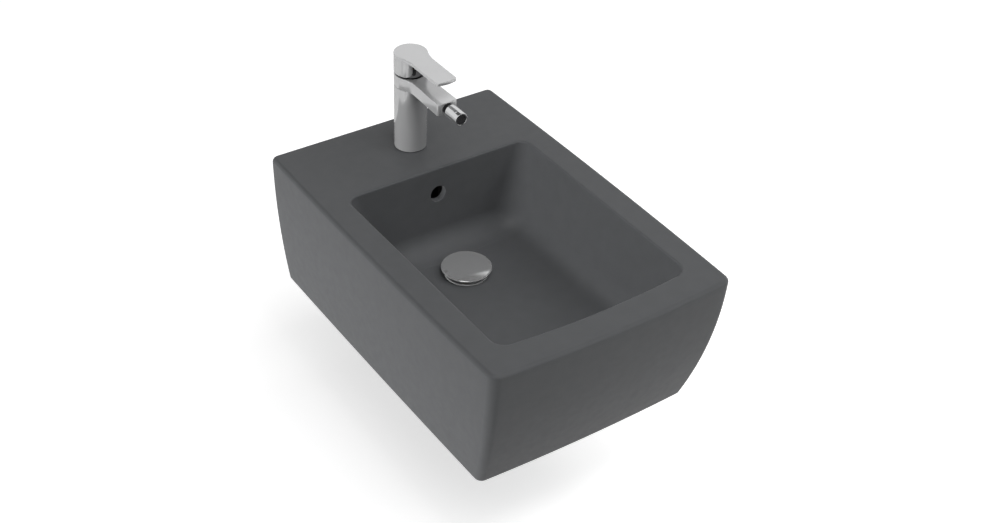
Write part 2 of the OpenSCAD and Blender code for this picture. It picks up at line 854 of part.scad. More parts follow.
module cartridge_spindle() {
    top = shoulder_z + spindle_rise;
    slot_w = stem_w + 2 * loose_gap;
    color(white_plastic) placed() at_tap() difference() {
        union() {
            drill(housing_inner_r - fit_gap, spindle_z, spindle_z + spindle_flange_t);
            drill(spindle_r, spindle_z, top);
        }
        translate([-slot_w / 2, -spindle_slot_l / 2, spindle_z - overrun])
            cube([slot_w, spindle_slot_l, top - spindle_z + 2 * overrun]);
        translate([0, 0, pivot_z]) rotate([0, 90, 0])
            drill(pin_d / 2, -spindle_r - overrun, spindle_r + overrun);
    }
}

module stem_pin() {
    color(steel) placed() at_tap() translate([0, 0, pivot_z]) rotate([0, 90, 0])
        drill(pin_d / 2, pin_inset - spindle_r, spindle_r - pin_inset);
}

module cartridge_stem() {
    half = stem_w / 2;
    color(brass) placed() at_tap() difference() {
        union() {
            translate([-half, -half, pivot_z - half]) cube([stem_w, stem_w, stem_top_z - pivot_z + half]);
            drill(stem_ball_r - loose_gap, stem_ball_z, pivot_z);
            translate([0, 0, stem_ball_z]) sphere(r = stem_ball_r);
        }
        translate([0, 0, pivot_z]) rotate([0, 90, 0]) drill(pin_d / 2 + fit_gap, -stem_w, stem_w);
    }
}

module cartridge_nut() {
    color(brass) placed() at_tap() difference() {
        drill(dome_ledge_r - fit_gap, shoulder_z, shoulder_z + nut_t);
        drill(neck_r + 2 * fit_gap, shoulder_z - overrun, shoulder_z + nut_t + overrun);
        for (turn = [0:90:270]) {
            rotate(turn) translate([neck_r + nut_slot_wall, -nut_slot_w / 2, shoulder_z + nut_t / 2])
                cube([dome_flange_r, nut_slot_w, nut_t]);
        }
    }
}

module dome_cover() {
    low = collar_top_z - dome_flange_t;
    color(chrome) placed() at_tap() difference() {
        union() {
            intersection() {
                translate([0, 0, pivot_z]) sphere(r = dome_r);
                drill(dome_r, low, pivot_z + dome_r);
            }
            drill(dome_flange_r, low, collar_top_z);
        }
        translate([0, 0, pivot_z]) sphere(r = dome_r - dome_wall);
        drill(dome_hole_r, low - overrun, pivot_z + dome_r + overrun);
    }
}

// Handle

// The back of the hub's lower edge rises so that it clears the collar when the lever lifts
function relief_z(y) =
    pivot_z + (collar_top_z + lift_clearance - pivot_z + y * sin(lift_angle)) / cos(lift_angle);

function relief_start() =
    ((handle_low_z - pivot_z) * cos(lift_angle) - (collar_top_z + lift_clearance - pivot_z)) / sin(lift_angle);

module hub_relief() {
    far = hub_r + overrun;
    start = relief_start();
    side_extrude(
        [[start, handle_low_z - overrun], [far, handle_low_z - overrun], [far, relief_z(far)], [start, handle_low_z]],
        2 * far
    );
}

module hub_opening() {
    half = hub_opening_w / 2;
    corner_z = handle_low_z + hub_opening_r;
    left = concat([[-half, plate_low_z]], arc(-half - hub_opening_r, corner_z, hub_opening_r, 0, -90, arc_steps));
    outline = concat(left, [[-hub_r, handle_low_z - overrun]], [[hub_r, handle_low_z - overrun]], mirrored(left));
    rotate([90, 0, 0]) linear_extrude(hub_r + overrun) polygon(outline);
}

module handle() {
    socket = stem_w + 2 * fit_gap;
    boss_z = plate_low_z - hub_boss_drop;
    color(chrome) placed() at_tap() difference() {
        union() {
            translate([0, 0, plate_low_z]) linear_extrude(lever_t) polygon(key_outline(
                hub_r - fit_gap, lever_w / 2, lever_w / 2, lever_reach, lever_blend_r, lever_corner_r,
                lever_end_bow
            ));
            difference() {
                drill(hub_r, handle_low_z, handle_top_z);
                drill(hub_r - hub_wall, handle_low_z - overrun, plate_low_z);
                hub_opening();
                hub_relief();
            }
            drill(hub_boss_r, boss_z, plate_low_z + overrun);
        }
        translate([-socket / 2, -socket / 2, boss_z - overrun])
            cube([socket, socket, stem_top_z + fit_gap + overrun - boss_z]);
        translate([0, 0, plate_low_z - grub_below_plate]) rotate([90, 0, 0])
            drill(grub_d / 2 + fit_gap, 0, hub_boss_r + overrun);
    }
}

module handle_screw() {
    color(black) placed() at_tap() translate([0, 0, plate_low_z - grub_below_plate]) rotate([90, 0, 0])
        difference() {
            drill(grub_d / 2, stem_w / 2, hub_boss_r);
            translate([0, 0, hub_boss_r - grub_socket_l])
                cylinder(d = grub_socket_d, h = grub_socket_l + overrun, $fn = 6);
        }
}

// Nozzle, drawn along the spout's axis with its ball at the origin

module at_ball() {
    placed() at_tap() along_spout(spout_reach + ball_out) children();
}

module ball_stud() {
    face = -ball_out;
    color(black) at_ball() difference() {
        union() {
            sphere(r = ball_r);
            drill(ball_neck_r, face - stud_recess_d, 0);
            drill(stud_flange_r, face - stud_recess_d + stud_gasket_t, face);
            drill(stud_thread_r, face - stud_thread_l - stud_recess_d + stud_thread_gap, face - overrun);
        }
        drill(ball_way_r, face - stud_thread_l - stud_recess_d, ball_r + overrun);
    }
}

module stud_gasket() {
    color(rubber_grey) at_ball() translate([0, 0, -ball_out - stud_recess_d])
        ring(stud_flange_r, stud_thread_r + fit_gap, stud_gasket_t);
}

module ball_seal() {
    outer = ball_r + ball_seal_t;
    half_h = outer * sin(ball_seal_half_angle);
    color(rubber_grey) at_ball() difference() {
        intersection() {
            sphere(r = outer);
            drill(outer + overrun, -half_h, half_h);
        }
        sphere(r = ball_r + fit_gap);
    }
}

module nozzle_sleeve() {
    mouth_z = -socket_r * cos(sleeve_mouth_angle);
    end_z = mouth_z + nozzle_l;
    seat = end_z - aerator_inset - aerator_l - aerator_washer_t;
    color(chrome) at_ball() difference() {
        drill(nozzle_d / 2, mouth_z, end_z);
        sphere(r = socket_r);
        drill(nozzle_way_r, 0, end_z + overrun);
        drill(aerator_r + fit_gap, seat, end_z + overrun);
    }
}

module at_aerator() {
    at_ball() translate([0, 0, nozzle_l - socket_r * cos(sleeve_mouth_angle) - aerator_inset - aerator_l])
        children();
}

module aerator_washer() {
    color(rubber_grey) at_aerator() translate([0, 0, -aerator_washer_t])
        ring(aerator_r, insert_way_r, aerator_washer_t);
}

module aerator_insert() {
    plate_z = aerator_l - jet_recess - jet_plate_t;
    color(black) at_aerator() difference() {
        cylinder(r = aerator_r, h = aerator_l);
        drill(aerator_r - jet_rim, plate_z + jet_plate_t, aerator_l + overrun);
        drill(insert_way_r, -overrun, plate_z);
        for (row = [0:jet_rows], i = [0:max(6 * row - 1, 0)]) {
            rotate(row > 0 ? 60 * i / row : 0) translate([row * jet_pitch, 0, 0])
                drill(jet_r, plate_z - overrun, aerator_l);
        }
    }
}

// Waste

module waste_body() {
    dish_r = flange_r - flange_rim_w;
    color(chrome) placed() at_drain() difference() {
        rotate_extrude() polygon([
            [tube_bore_r, tube_low_z], [tube_r, tube_low_z], [tube_r, flange_low_z],
            [flange_r, flange_low_z], [flange_r, flange_top_z - cap_bevel],
            [flange_r - cap_bevel, flange_top_z], [dish_r, flange_top_z], [tube_bore_r, flange_low_z]
        ]);
        for (i = [0:slot_count - 1]) {
            rotate(360 * i / slot_count) translate([
                0, -slot_w / 2, (ring_chamber_top_z + ring_chamber_low_z - slot_h) / 2
            ]) cube([tube_r + overrun, slot_w, slot_h]);
        }
    }
}

module waste_top_gasket() {
    color(rubber_grey) placed() at_drain() translate([0, 0, seat_z])
        ring(flange_r - cap_bevel, tube_r + fit_gap, top_gasket_t);
}

module waste_bottom_gasket() {
    color(rubber_grey) placed() at_drain() rotate_extrude() polygon([
        [tube_r + fit_gap, boss_low_z], [gasket_wide_r, boss_low_z],
        [gasket_wide_r, boss_low_z - bottom_gasket_t / 2],
        [gasket_wide_r - bottom_gasket_t / 2, boss_low_z - bottom_gasket_t],
        [tube_r + fit_gap, boss_low_z - bottom_gasket_t]
    ]);
}

module waste_nut() {
    top = boss_low_z - bottom_gasket_t;
    color(white_plastic) placed() at_drain() difference() {
        translate([0, 0, top - waste_nut_h]) cylinder(r = waste_nut_r, h = waste_nut_h, $fn = 8);
        drill(tube_r + fit_gap, top - waste_nut_h - overrun, top + overrun);
    }
}

tail_flange_z = tube_low_z - tail_gasket_t - tail_flange_t;

module tailpiece_gasket() {
    color(rubber_grey) placed() at_drain() translate([0, 0, tube_low_z - tail_gasket_t])
        ring(tube_r, tail_d / 2 - tail_wall, tail_gasket_t);
}

module tailpiece() {
    neck_l = tail_nut_lip_t + tail_step_below_nut;
    color(chrome) placed() at_drain() translate([0, 0, tail_flange_z]) difference() {
        union() {
            cylinder(r = tube_r, h = tail_flange_t);
            drill(tail_d / 2 - tail_step, -neck_l - overrun, overrun);
            drill(tail_d / 2, -tail_l, -neck_l);
        }
        drill(tail_d / 2 - tail_wall, -tail_l - overrun, tail_flange_t + overrun);
    }
}

module tailpiece_nut() {
    low = tail_flange_z - tail_nut_lip_t;
    top = tube_low_z + tail_nut_overlap;
    color(chrome) placed() at_drain() difference() {
        translate([0, 0, low]) cylinder(r = tube_r + tail_nut_wall, h = top - low, $fn = 8);
        drill(tube_r + fit_gap, tail_flange_z, top + overrun);
        drill(tail_d / 2 + loose_gap, low - overrun, top);
    }
}

// Plug

module waste_cap() {
    r = cap_d / 2;
    under = cap_top_z - cap_plate_t;
    edge = cap_top_z - cap_edge_t;
    color(chrome) placed() at_drain() rotate_extrude() polygon([
        [0, cap_top_z], [r - cap_bevel, cap_top_z], [r, cap_top_z - cap_bevel], [r, edge],
        [r - cap_skirt_w + cap_skirt_taper, edge], [r - cap_skirt_w, under], [cap_boss_r, under],
        [cap_boss_r, under - cap_boss_h], [0, under - cap_boss_h]
    ]);
}

// The seal seats on the flange's dish at the end of the travel
module cap_seal() {
    dish_r = flange_r - flange_rim_w;
    slope = flange_t / (dish_r - tube_bore_r);
    low = flange_top_z - slope * (dish_r - cap_seal_low_r) + cap_travel + loose_gap;
    high = flange_top_z - slope * (dish_r - cap_seal_r) + cap_travel + loose_gap;
    under = cap_top_z - cap_plate_t;
    color(rubber_grey) placed() at_drain() rotate_extrude() polygon([
        [cap_boss_r + fit_gap, under], [cap_seal_r, under], [cap_seal_r, high], [cap_seal_low_r, low],
        [cap_boss_r + fit_gap, low]
    ]);
}

module cap_stem() {
    color(brass) placed() at_drain()
        drill(cap_stem_r, cage_z - cap_travel / 2, cap_top_z - cap_plate_t - cap_boss_h);
}

module click_cage() {
    outer = tube_bore_r - fit_gap;
    color(white_plastic) placed() at_drain() translate([0, 0, cage_z]) difference() {
        union() {
            ring(outer, outer - cage_ring_w, cage_h);
            cylinder(r = cage_hub_r, h = cage_h);
            for (turn = [0:120:240]) {
                rotate(turn) translate([0, -cage_arm_w / 2, 0])
                    cube([outer - overrun, cage_arm_w, cage_h / 2]);
            }
        }
        drill(cap_stem_r + fit_gap, -overrun, cage_h + overrun);
    }
}

// Round wire wound on a helix between the cage's hub and the cap's boss
module cap_spring() {
    low = cage_z + cage_h + spring_wire_r;
    high = cap_top_z - cap_plate_t - cap_boss_h - spring_wire_r;
    steps = spring_turns * spring_steps;
    rings = [for (i = [0:steps])
        let (turn = 360 * i / spring_steps, z = low + (high - low) * i / steps)
        [for (k = [0:spring_sides - 1])
            let (a = 360 * k / spring_sides, r = spring_r + spring_wire_r * cos(a))
            [r * cos(turn), r * sin(turn), z + spring_wire_r * sin(a)]]];
    n = spring_sides;
    sides = [for (i = [0:steps - 1], k = [0:n - 1])
        let (a = i * n + k, b = i * n + (k + 1) % n)
        each [[a, b, b + n], [a, b + n, a + n]]];
    first = [for (k = [n - 1:-1:0]) k];
    last = [for (k = [0:n - 1]) steps * n + k];
    color(steel) placed() at_drain()
        polyhedron(points = [for (r = rings) each r], faces = concat([first], sides, [last]), convexity = 10);
}

ceramic_body();
fixing_sleeves();
fixing_washers();
fixing_nuts();
tap_body();
base_gasket();
mounting_stud();
clamp_gasket();
clamp_plate();
clamp_nut();
cartridge_base();
cartridge_seals();
cartridge_housing();
fixed_disc();
moving_disc();
disc_carrier();
cartridge_spindle();
stem_pin();
cartridge_stem();
cartridge_nut();
dome_cover();
handle();
handle_screw();
ball_stud();
stud_gasket();
ball_seal();
nozzle_sleeve();
aerator_washer();
aerator_insert();
waste_body();
waste_top_gasket();
waste_bottom_gasket();
waste_nut();
tailpiece();
tailpiece_gasket();
tailpiece_nut();
waste_cap();
cap_seal();
cap_stem();
click_cage();
cap_spring();
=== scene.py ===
"""Wall-hung bidet in matt graphite ceramic, with a chrome single-lever tap and a push-open waste.

Every length in the classes is in millimetres, counted from the wall plane and from the rim of the bidet. The
builders lift the points by RIM_HEIGHT and turn them into metres when a mesh is made.
"""

import json
import logging
import math
from dataclasses import dataclass
from enum import Enum

import bmesh
import bpy
import numpy as np
from mathutils import Matrix


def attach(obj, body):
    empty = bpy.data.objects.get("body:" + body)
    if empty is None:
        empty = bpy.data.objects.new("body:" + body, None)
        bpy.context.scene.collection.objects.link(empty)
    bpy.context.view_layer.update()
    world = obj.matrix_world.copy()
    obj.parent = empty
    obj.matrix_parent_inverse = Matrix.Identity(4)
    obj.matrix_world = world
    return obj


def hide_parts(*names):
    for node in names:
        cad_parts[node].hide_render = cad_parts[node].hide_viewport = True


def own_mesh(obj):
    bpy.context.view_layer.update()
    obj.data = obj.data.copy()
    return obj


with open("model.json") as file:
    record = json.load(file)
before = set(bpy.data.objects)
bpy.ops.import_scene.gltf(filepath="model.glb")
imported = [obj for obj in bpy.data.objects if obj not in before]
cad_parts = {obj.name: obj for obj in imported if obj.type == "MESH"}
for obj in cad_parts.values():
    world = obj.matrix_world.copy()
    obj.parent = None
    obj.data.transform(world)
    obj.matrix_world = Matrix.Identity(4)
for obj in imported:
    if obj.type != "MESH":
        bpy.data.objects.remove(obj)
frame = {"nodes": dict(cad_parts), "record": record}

LOG = logging.getLogger("bidet")
MM = 0.001
RIM_HEIGHT = 75.0
SAME_POINT = 1e-7  # points nearer than this, in metres, are one
SHARP_R = 1e-3  # radius of a corner that counts as sharp
TINY = 1e-9
PAST = 1.0  # how far a cutter or a boss goes past a face
CORNER_STEPS = 5  # chords in a small rounded corner
SMALL_FACETS = 48  # facets of a small bore
EDGE_ANGLE = math.radians(32)  # sharper edges stay crisp
IMAGE_WIDTH = 1000.0
IMAGE_HEIGHT = 523.0

Obj = bpy.types.Object
Tree = bpy.types.NodeTree
Socket = bpy.types.NodeSocket
Colour = tuple[float, float, float]


class Body(Enum):
    """The moving bodies that the pieces ride on."""

    FIXED = "bidet"
    LEVER = "lever"
    NOZZLE = "nozzle"
    PLUG = "plug"


class Axis(Enum):
    """The axis that an outline is carried along."""

    ACROSS = 0
    AHEAD = 1
    UP = 2


class Join(Enum):
    """How one solid changes another."""

    ADD = "UNION"
    CUT = "DIFFERENCE"
    KEEP = "INTERSECT"


# Curves and profiles


def arc(cx: float, cy: float, r: float, start: float, end: float, steps: int) -> np.ndarray:
    """Points on a circle from one angle to another.

    Args:
        cx, cy: the centre.
        r: the radius.
        start, end: the angles in degrees.
        steps: the number of chords.

    Returns:
        An array of steps + 1 points.
    """
    a = np.radians(np.linspace(start, end, steps + 1))
    return np.stack([cx + r * np.cos(a), cy + r * np.sin(a)], axis=1)


def rounded(corners: list[tuple[float, float, float]], steps: int = CORNER_STEPS) -> np.ndarray:
    """A closed profile whose corners are rounded: each corner becomes an arc that touches both its sides.

    Args:
        corners: x, y and radius of each corner, in order.
        steps: the number of chords in each arc.

    Returns:
        An array of points, steps + 1 for each corner.
    """
    data = np.array(corners, float)
    p, r = data[:, :2], np.maximum(data[:, 2:], SHARP_R)
    to_last = np.roll(p, 1, axis=0) - p
    to_next = np.roll(p, -1, axis=0) - p
    to_last /= np.linalg.norm(to_last, axis=1, keepdims=True)
    to_next /= np.linalg.norm(to_next, axis=1, keepdims=True)
    half = np.arccos(np.clip((to_last * to_next).sum(1, keepdims=True), -1, 1)) / 2
    bisector = to_last + to_next
    bisector /= np.maximum(np.linalg.norm(bisector, axis=1, keepdims=True), TINY)
    centre = p + bisector * r / np.sin(half)
    first = p + to_last * r / np.tan(half) - centre
    last = p + to_next * r / np.tan(half) - centre
    sweep = (math.pi - 2 * half)[:, None, :]
    t = np.linspace(0, 1, steps + 1)[None, :, None]
    blend = np.sin((1 - t) * sweep) * first[:, None] + np.sin(t * sweep) * last[:, None]
    return (centre[:, None] + blend / np.sin(sweep)).reshape(-1, 2)


def outward(outline: np.ndarray) -> np.ndarray:
    """Normals of a closed counter-clockwise outline, square to the chord between each point's neighbours.

    Args:
        outline: the points.

    Returns:
        One unit vector for each point.
    """
    chord = np.roll(outline, -1, axis=0) - np.roll(outline, 1, axis=0)
    normal = np.stack([chord[:, 1], -chord[:, 0]], axis=1)
    return normal / np.linalg.norm(normal, axis=1, keepdims=True)


@dataclass
class Key:
    """Plan of a round hub that flows into a bar along -Y through two hollow curves.

    The hollow arc of radius blend touches the hub's circle and the bar's side; the bar's end bows out by bow.
    Neck and tip are the bar's half widths where it starts and ends. Fine counts the chords of a hollow arc.
    """

    hub: float
    neck: float
    tip: float
    reach: float
    blend: float
    corner: float
    bow: float
    fine: int = 24
    steps: int = 8

    def outline(self) -> np.ndarray:
        """Works out the plan: half of it, and its mirror image.

        Returns:
            A closed counter-clockwise outline that starts at the middle of the bar's end.
        """
        blend_x = self.neck + self.blend
        blend_y = -math.sqrt((self.hub + self.blend) ** 2 - blend_x**2)
        meet = math.degrees(math.atan2(blend_y, blend_x))
        flat = self.tip - self.corner
        u = np.linspace(0, 1, self.steps + 1)[:-1]
        end = np.stack([flat * u, self.bow * u * u - self.reach], axis=1)
        corner = arc(flat, self.corner + self.bow - self.reach, self.corner, -90, 0, self.steps)
        hollow = arc(blend_x, blend_y, self.blend, 180, 180 + meet, self.fine)
        round_part = arc(0, 0, self.hub, meet, 90, 2 * self.fine)[1:]
        right = np.concatenate([end, corner, hollow, round_part])
        left = right[1:-1][::-1] * np.array([-1.0, 1.0])
        return np.concatenate([right, left])


def soft_stack(
    low: float, high: float, low_r: float, high_r: float, steps: int = CORNER_STEPS
) -> np.ndarray:
    """Levels of a prism with rounded edges, and one level just inside each cap that keeps the cap flat.

    Args:
        low, high: the heights of the caps.
        low_r, high_r: the radii of the edges.
        steps: the number of chords in each edge.

    Returns:
        Inset and height of each level, from the lowest to the highest.
    """
    guard = 0.4
    a = np.radians(np.linspace(0, 90, steps + 1))
    low_arc = np.stack([low_r * (1 - np.sin(a)), low + low_r * (1 - np.cos(a))], axis=1)
    high_arc = np.stack([high_r * (1 - np.cos(a)), high - high_r * (1 - np.sin(a))], axis=1)
    return np.concatenate([[[low_r + guard, low]], low_arc, high_arc, [[high_r + guard, high]]])


def up_angle(height: float, r: float) -> float:
    """Angle in degrees at which a circle of radius r reaches a height over its centre."""
    return math.degrees(math.asin(height / r))


def between(values: np.ndarray, low: float, high: float) -> np.ndarray:
    """Whether each value lies between two limits."""
    return (values > low) & (values < high)


# Meshes


def ring_quads(rows: int, cols: int, wrap_rows: bool = False) -> list[list[int]]:
    """Quads between the rings of a grid whose columns run round and close.

    Args:
        rows: the number of rings.
        cols: the points in each ring.
        wrap_rows: whether the last ring joins the first one too.

    Returns:
        Four point numbers for each quad.
    """
    i = np.arange(rows if wrap_rows else rows - 1)[:, None]
    j = np.arange(cols)[None, :]
    n = (i + 1) % rows
    k = (j + 1) % cols
    quads = np.stack([i * cols + j, i * cols + k, n * cols + k, n * cols + j], axis=-1)
    return quads.reshape(-1, 4).tolist()


def new_mesh(name: str, points: np.ndarray, faces: list[list[int]]) -> Obj:
    """A mesh object from points in millimetres, with its faces turned outwards.

    Args:
        name: the object's name.
        points: one row for each point, counted from the floor of the frame.
        faces: lists of point numbers.

    Returns:
        The new object, linked to the scene.
    """
    mesh = bpy.data.meshes.new(name)
    mesh.from_pydata((points * MM).tolist(), [], faces)
    tool = bmesh.new()
    tool.from_mesh(mesh)
    bmesh.ops.remove_doubles(tool, verts=tool.verts, dist=SAME_POINT)
    bmesh.ops.dissolve_degenerate(tool, edges=tool.edges, dist=SAME_POINT)
    bmesh.ops.recalc_face_normals(tool, faces=tool.faces)
    tool.to_mesh(mesh)
    tool.free()
    obj = bpy.data.objects.new(name, mesh)
    bpy.context.scene.collection.objects.link(obj)
    return obj


def lifted(points: np.ndarray, x: float = 0.0, y: float = 0.0) -> np.ndarray:
    """Points moved by x and y, and up by the rim's height."""
    return points + np.array([x, y, RIM_HEIGHT])


def skin(name: str, rings: np.ndarray) -> Obj:
    """A closed solid through a stack of rings, with a flat cap on the first and last.

    Args:
        name: the object's name.
        rings: an array of rings by points by three.

    Returns:
        The new object.
    """
    rows, cols = rings.shape[:2]
    caps = [list(range(cols))[::-1], list(range((rows - 1) * cols, rows * cols))]
    return new_mesh(name, rings.reshape(-1, 3), ring_quads(rows, cols) + caps)


def prism(name: str, outline: np.ndarray, stack: np.ndarray, y: float = 0.0) -> Obj:
    """A solid with one outline and shaped edges: at each level of a stack the outline moves in by an inset.

    Args:
        name: the object's name.
        outline: the closed plan, counter-clockwise.
        stack: inset and height of each level, from the lowest to the highest.
        y: where the plan's origin lies.

    Returns:
        The new object.
    """
    flat = outline[None] - outward(outline)[None] * stack[:, None, :1]
    height = np.broadcast_to(stack[:, None, 1:], flat.shape[:2] + (1,))
    return skin(name, lifted(np.concatenate([flat, height], axis=2), y=y))


def carried(outline: np.ndarray, axis: Axis, start: float, end: float, y: float = 0.0) -> Obj:
    """A straight prism, used to cut or to add: an outline is carried along an axis.

    Args:
        outline: the two coordinates that stay, in the order of x, y and z.
        axis: the axis that it is carried along.
        start, end: its ends on that axis.
        y: how far the prism is moved along Y.

    Returns:
        The new object.
    """
    ends = [np.insert(outline, axis.value, place, axis=1) for place in (start, end)]
    return skin("prism", lifted(np.stack(ends), y=y))


def turned(profile: np.ndarray, steps: int, lying: float | None) -> np.ndarray:
    """Points of a profile carried round an axis: radius times cosine and sine of the turn, and height.

    Args:
        profile: radius and height of each point.
        steps: the number of facets round the axis.
        lying: the height of the axis where it lies along -Y; heights of the profile then run along -Y.

    Returns:
        An array of profile points by facets by three.
    """
    a = np.linspace(0, 2 * math.pi, steps, endpoint=False)
    r, h = profile[:, :1], np.broadcast_to(profile[:, 1:], (len(profile), steps))
    if lying is None:
        return np.stack([r * np.cos(a), r * np.sin(a), h], axis=2)
    return np.stack([r * np.cos(a), -h, r * np.sin(a) + lying], axis=2)


def lathe(
    name: str, profile: np.ndarray, y: float = 0.0, steps: int = 96, lying: float | None = None
) -> Obj:
    """A turned solid with a closed profile.

    Args:
        name: the object's name.
        profile: radius and height of each point.
        y: where an upright axis stands.
        steps: the number of facets round the axis.
        lying: the height of an axis that lies along -Y.

    Returns:
        The new object.
    """
    grid = lifted(turned(profile, steps, lying), y=y)
    return new_mesh(name, grid.reshape(-1, 3), ring_quads(len(profile), steps, True))


def rod(
    r: float, low: float, high: float, x: float = 0.0, y: float = 0.0, lying: float | None = None,
    steps: int = 96, mouth: float = 0.0
) -> Obj:
    """A plain round rod, used to cut holes and to add bosses.

    Args:
        r: the radius.
        low, high: its ends, which run along -Y where it lies.
        x, y: where the axis stands.
        lying: the height of an axis that lies along -Y.
        steps: the number of facets.
        mouth: how far its upper end widens into a cone.

    Returns:
        The new object.
    """
    levels = [[r, low], [r, high - mouth], [r + mouth, high]] if mouth else [[r, low], [r, high]]
    return skin("rod", lifted(turned(np.array(levels, float), steps, lying), x=x, y=y))


def combine(target: Obj, how: Join, *tools: Obj) -> Obj:
    """Adds tools to a solid, or cuts them from it, one after another, and removes them.

    Args:
        target: the solid that is changed.
        how: whether the tools are added, cut or kept in common.
        tools: the solids that are used up.

    Returns:
        The target.
    """
    for tool in tools:
        step = target.modifiers.new("step", "BOOLEAN")
        step.operation = how.value
        step.solver = "MANIFOLD"
        step.object = tool
        graph = bpy.context.evaluated_depsgraph_get()
        made = bpy.data.meshes.new_from_object(target.evaluated_get(graph))
        target.modifiers.clear()
        old = target.data
        target.data = made
        bpy.data.meshes.remove(old)
        bpy.data.objects.remove(tool)
    return target


# Finishes


def node(tree: Tree, kind: str, *sources: Socket) -> bpy.types.Node:
    """A new shader node whose first inputs are linked to sockets.

    Args:
        tree: the nodes that it joins.
        kind: its type, without the words shader node.
        sources: the sockets, in the order of its inputs.

    Returns:
        The node.
    """
    made = tree.nodes.new("ShaderNode" + kind)
    for place, source in zip(made.inputs, sources):
        tree.links.new(source, place)
    return made


@dataclass(frozen=True)
class Finish:
    """A procedural finish: a colour that drifts a little over the surface, a roughness and a fine relief.

    Patterns read Object coordinates, and their sizes are the size of the pattern's features in metres. A face
    attribute is 1 where no light comes, and there the colour is painted nearly black as painted shade.
    """

    name: str
    slot: str
    colour: Colour
    drift: float
    drift_size: float
    rough: tuple[float, float]
    rough_size: float
    relief: float = 0.0
    relief_size: float = 0.001
    metal: float = 0.0
    ior: float = 1.5
    # name of the face attribute on which the colour is painted nearly black as painted shade
    painted_shade: str = ""
    drift_detail: float = 3.0
    rough_detail: float = 4.0
    relief_detail: float = 2.0
    # colour of the painted shade
    painted_shade_colour: Colour = (0.002, 0.002, 0.002)
    ramp_ends: tuple[float, float] = (0.3, 0.7)

    def build(self) -> bpy.types.Material:
        """Makes the material.

        Returns:
            A material whose colour, roughness and relief come from noise on Object coordinates.
        """
        made = bpy.data.materials.new(self.name)
        made.use_nodes = True
        tree = made.node_tree
        shader = tree.nodes["Principled BSDF"]
        shader.inputs["Metallic"].default_value = self.metal
        shader.inputs["IOR"].default_value = self.ior
        place = node(tree, "TexCoord").outputs["Object"]
        dark = tuple(c * (1 - self.drift) for c in self.colour)
        light = tuple(min(c * (1 + self.drift), 1.0) for c in self.colour)
        noise = self._noise(tree, place, self.drift_size, self.drift_detail)
        colour = self._ramp(tree, noise, dark, light)
        # painted shade: the marked faces turn nearly black
        if self.painted_shade:
            colour = self._paint_shade(tree, colour)
        tree.links.new(colour, shader.inputs["Base Color"])
        low, high = ((value,) * 3 for value in self.rough)
        noise = self._noise(tree, place, self.rough_size, self.rough_detail)
        tree.links.new(self._ramp(tree, noise, low, high), shader.inputs["Roughness"])
        if self.relief:
            bump = node(tree, "Bump")
            bump.inputs["Strength"].default_value = 1.0
            bump.inputs["Distance"].default_value = self.relief
            height = self._noise(tree, place, self.relief_size, self.relief_detail)
            tree.links.new(height, bump.inputs["Height"])
            tree.links.new(bump.outputs["Normal"], shader.inputs["Normal"])
        return made

    def _paint_shade(self, tree: Tree, colour: Socket) -> Socket:
        """Paints shade: mixes a colour with the near-black shade colour by the face attribute.

        Args:
            tree: the material's nodes.
            colour: the colour of the lit faces.

        Returns:
            The colour of all faces.
        """
        mark = node(tree, "Attribute")
        mark.attribute_name = self.painted_shade
        shade = node(tree, "MixRGB", mark.outputs["Fac"], colour)
        shade.inputs["Color2"].default_value = self.painted_shade_colour + (1.0,)
        return shade.outputs["Color"]

    @staticmethod
    def _noise(tree: Tree, place: Socket, size: float, detail: float) -> Socket:
        """Noise whose features have a size in metres.

        Args:
            tree: the material's nodes.
            place: the coordinates.
            size: the size of the largest features.
            detail: how many times finer features are added.

        Returns:
            The noise, from 0 to 1.
        """
        noise = node(tree, "TexNoise", place)
        noise.inputs["Scale"].default_value = 1.0 / size
        noise.inputs["Detail"].default_value = detail
        return noise.outputs["Fac"]

    def _ramp(self, tree: Tree, value: Socket, low: Colour, high: Colour) -> Socket:
        """A ramp between two colours over the middle of the noise.

        Args:
            tree: the material's nodes.
            value: the noise.
            low, high: the colours at the ends.

        Returns:
            The colour.
        """
        ramp = node(tree, "ValToRGB", value)
        for stop, position, colour in zip(ramp.color_ramp.elements, self.ramp_ends, (low, high)):
            stop.position = position
            stop.color = colour + (1.0,)
        return ramp.outputs["Color"]


def chrome(
    name: str, colour: Colour, rough: tuple[float, float], metal: float, drift: float = 0.012
) -> Finish:
    """A finish of the chrome slot, without relief.

    Args:
        name: the finish's name.
        colour: its mean colour.
        rough: its lowest and highest roughness.
        metal: how much of it mirrors as metal does.
        drift: how far its colour drifts.

    Returns:
        The finish.
    """
    return Finish(name, "chrome", colour, drift, CHROME_DRIFT_SIZE, rough, CHROME_ROUGH_SIZE, metal=metal)


CHROME_DRIFT_SIZE = 0.03
CHROME_ROUGH_SIZE = 0.02
# the glaze paints near-black shade on the faces marked inside the overflow duct
GRAPHITE = Finish(
    "matt_graphite_glaze", "graphite_ceramic", (0.07, 0.072, 0.075), 0.03, 0.02, (0.42, 0.48), 0.012,
    0.00002, 0.0011, ior=1.3, painted_shade="painted_shade",
)
CHROME = chrome("polished_chrome", (0.6, 0.605, 0.61), (0.04, 0.08), 0.9)
SOFT_CHROME = chrome("soft_chrome", (0.51, 0.512, 0.515), (0.1, 0.16), 0.55)
SATIN_CHROME = chrome("satin_chrome", (0.58, 0.582, 0.585), (0.07, 0.12), 0.74)
# chrome painted nearly black: painted shade for the dome deep in the hub's opening
SHADE_PAINTED_CHROME = chrome("shade_painted_chrome", (0.075, 0.075, 0.078), (0.04, 0.08), 1.0, drift=0.03)
STEEL = Finish(
    "zinc_plated_steel", "plated_steel", (0.55, 0.56, 0.58), 0.08, 0.004, (0.25, 0.42), 0.003,
    0.00002, 0.0006, 1.0,
)
BLACK_STEEL = Finish(
    "blackened_steel", "black_steel", (0.03, 0.03, 0.032), 0.2, 0.002, (0.3, 0.45), 0.002,
    0.00001, 0.0004, 0.6,
)
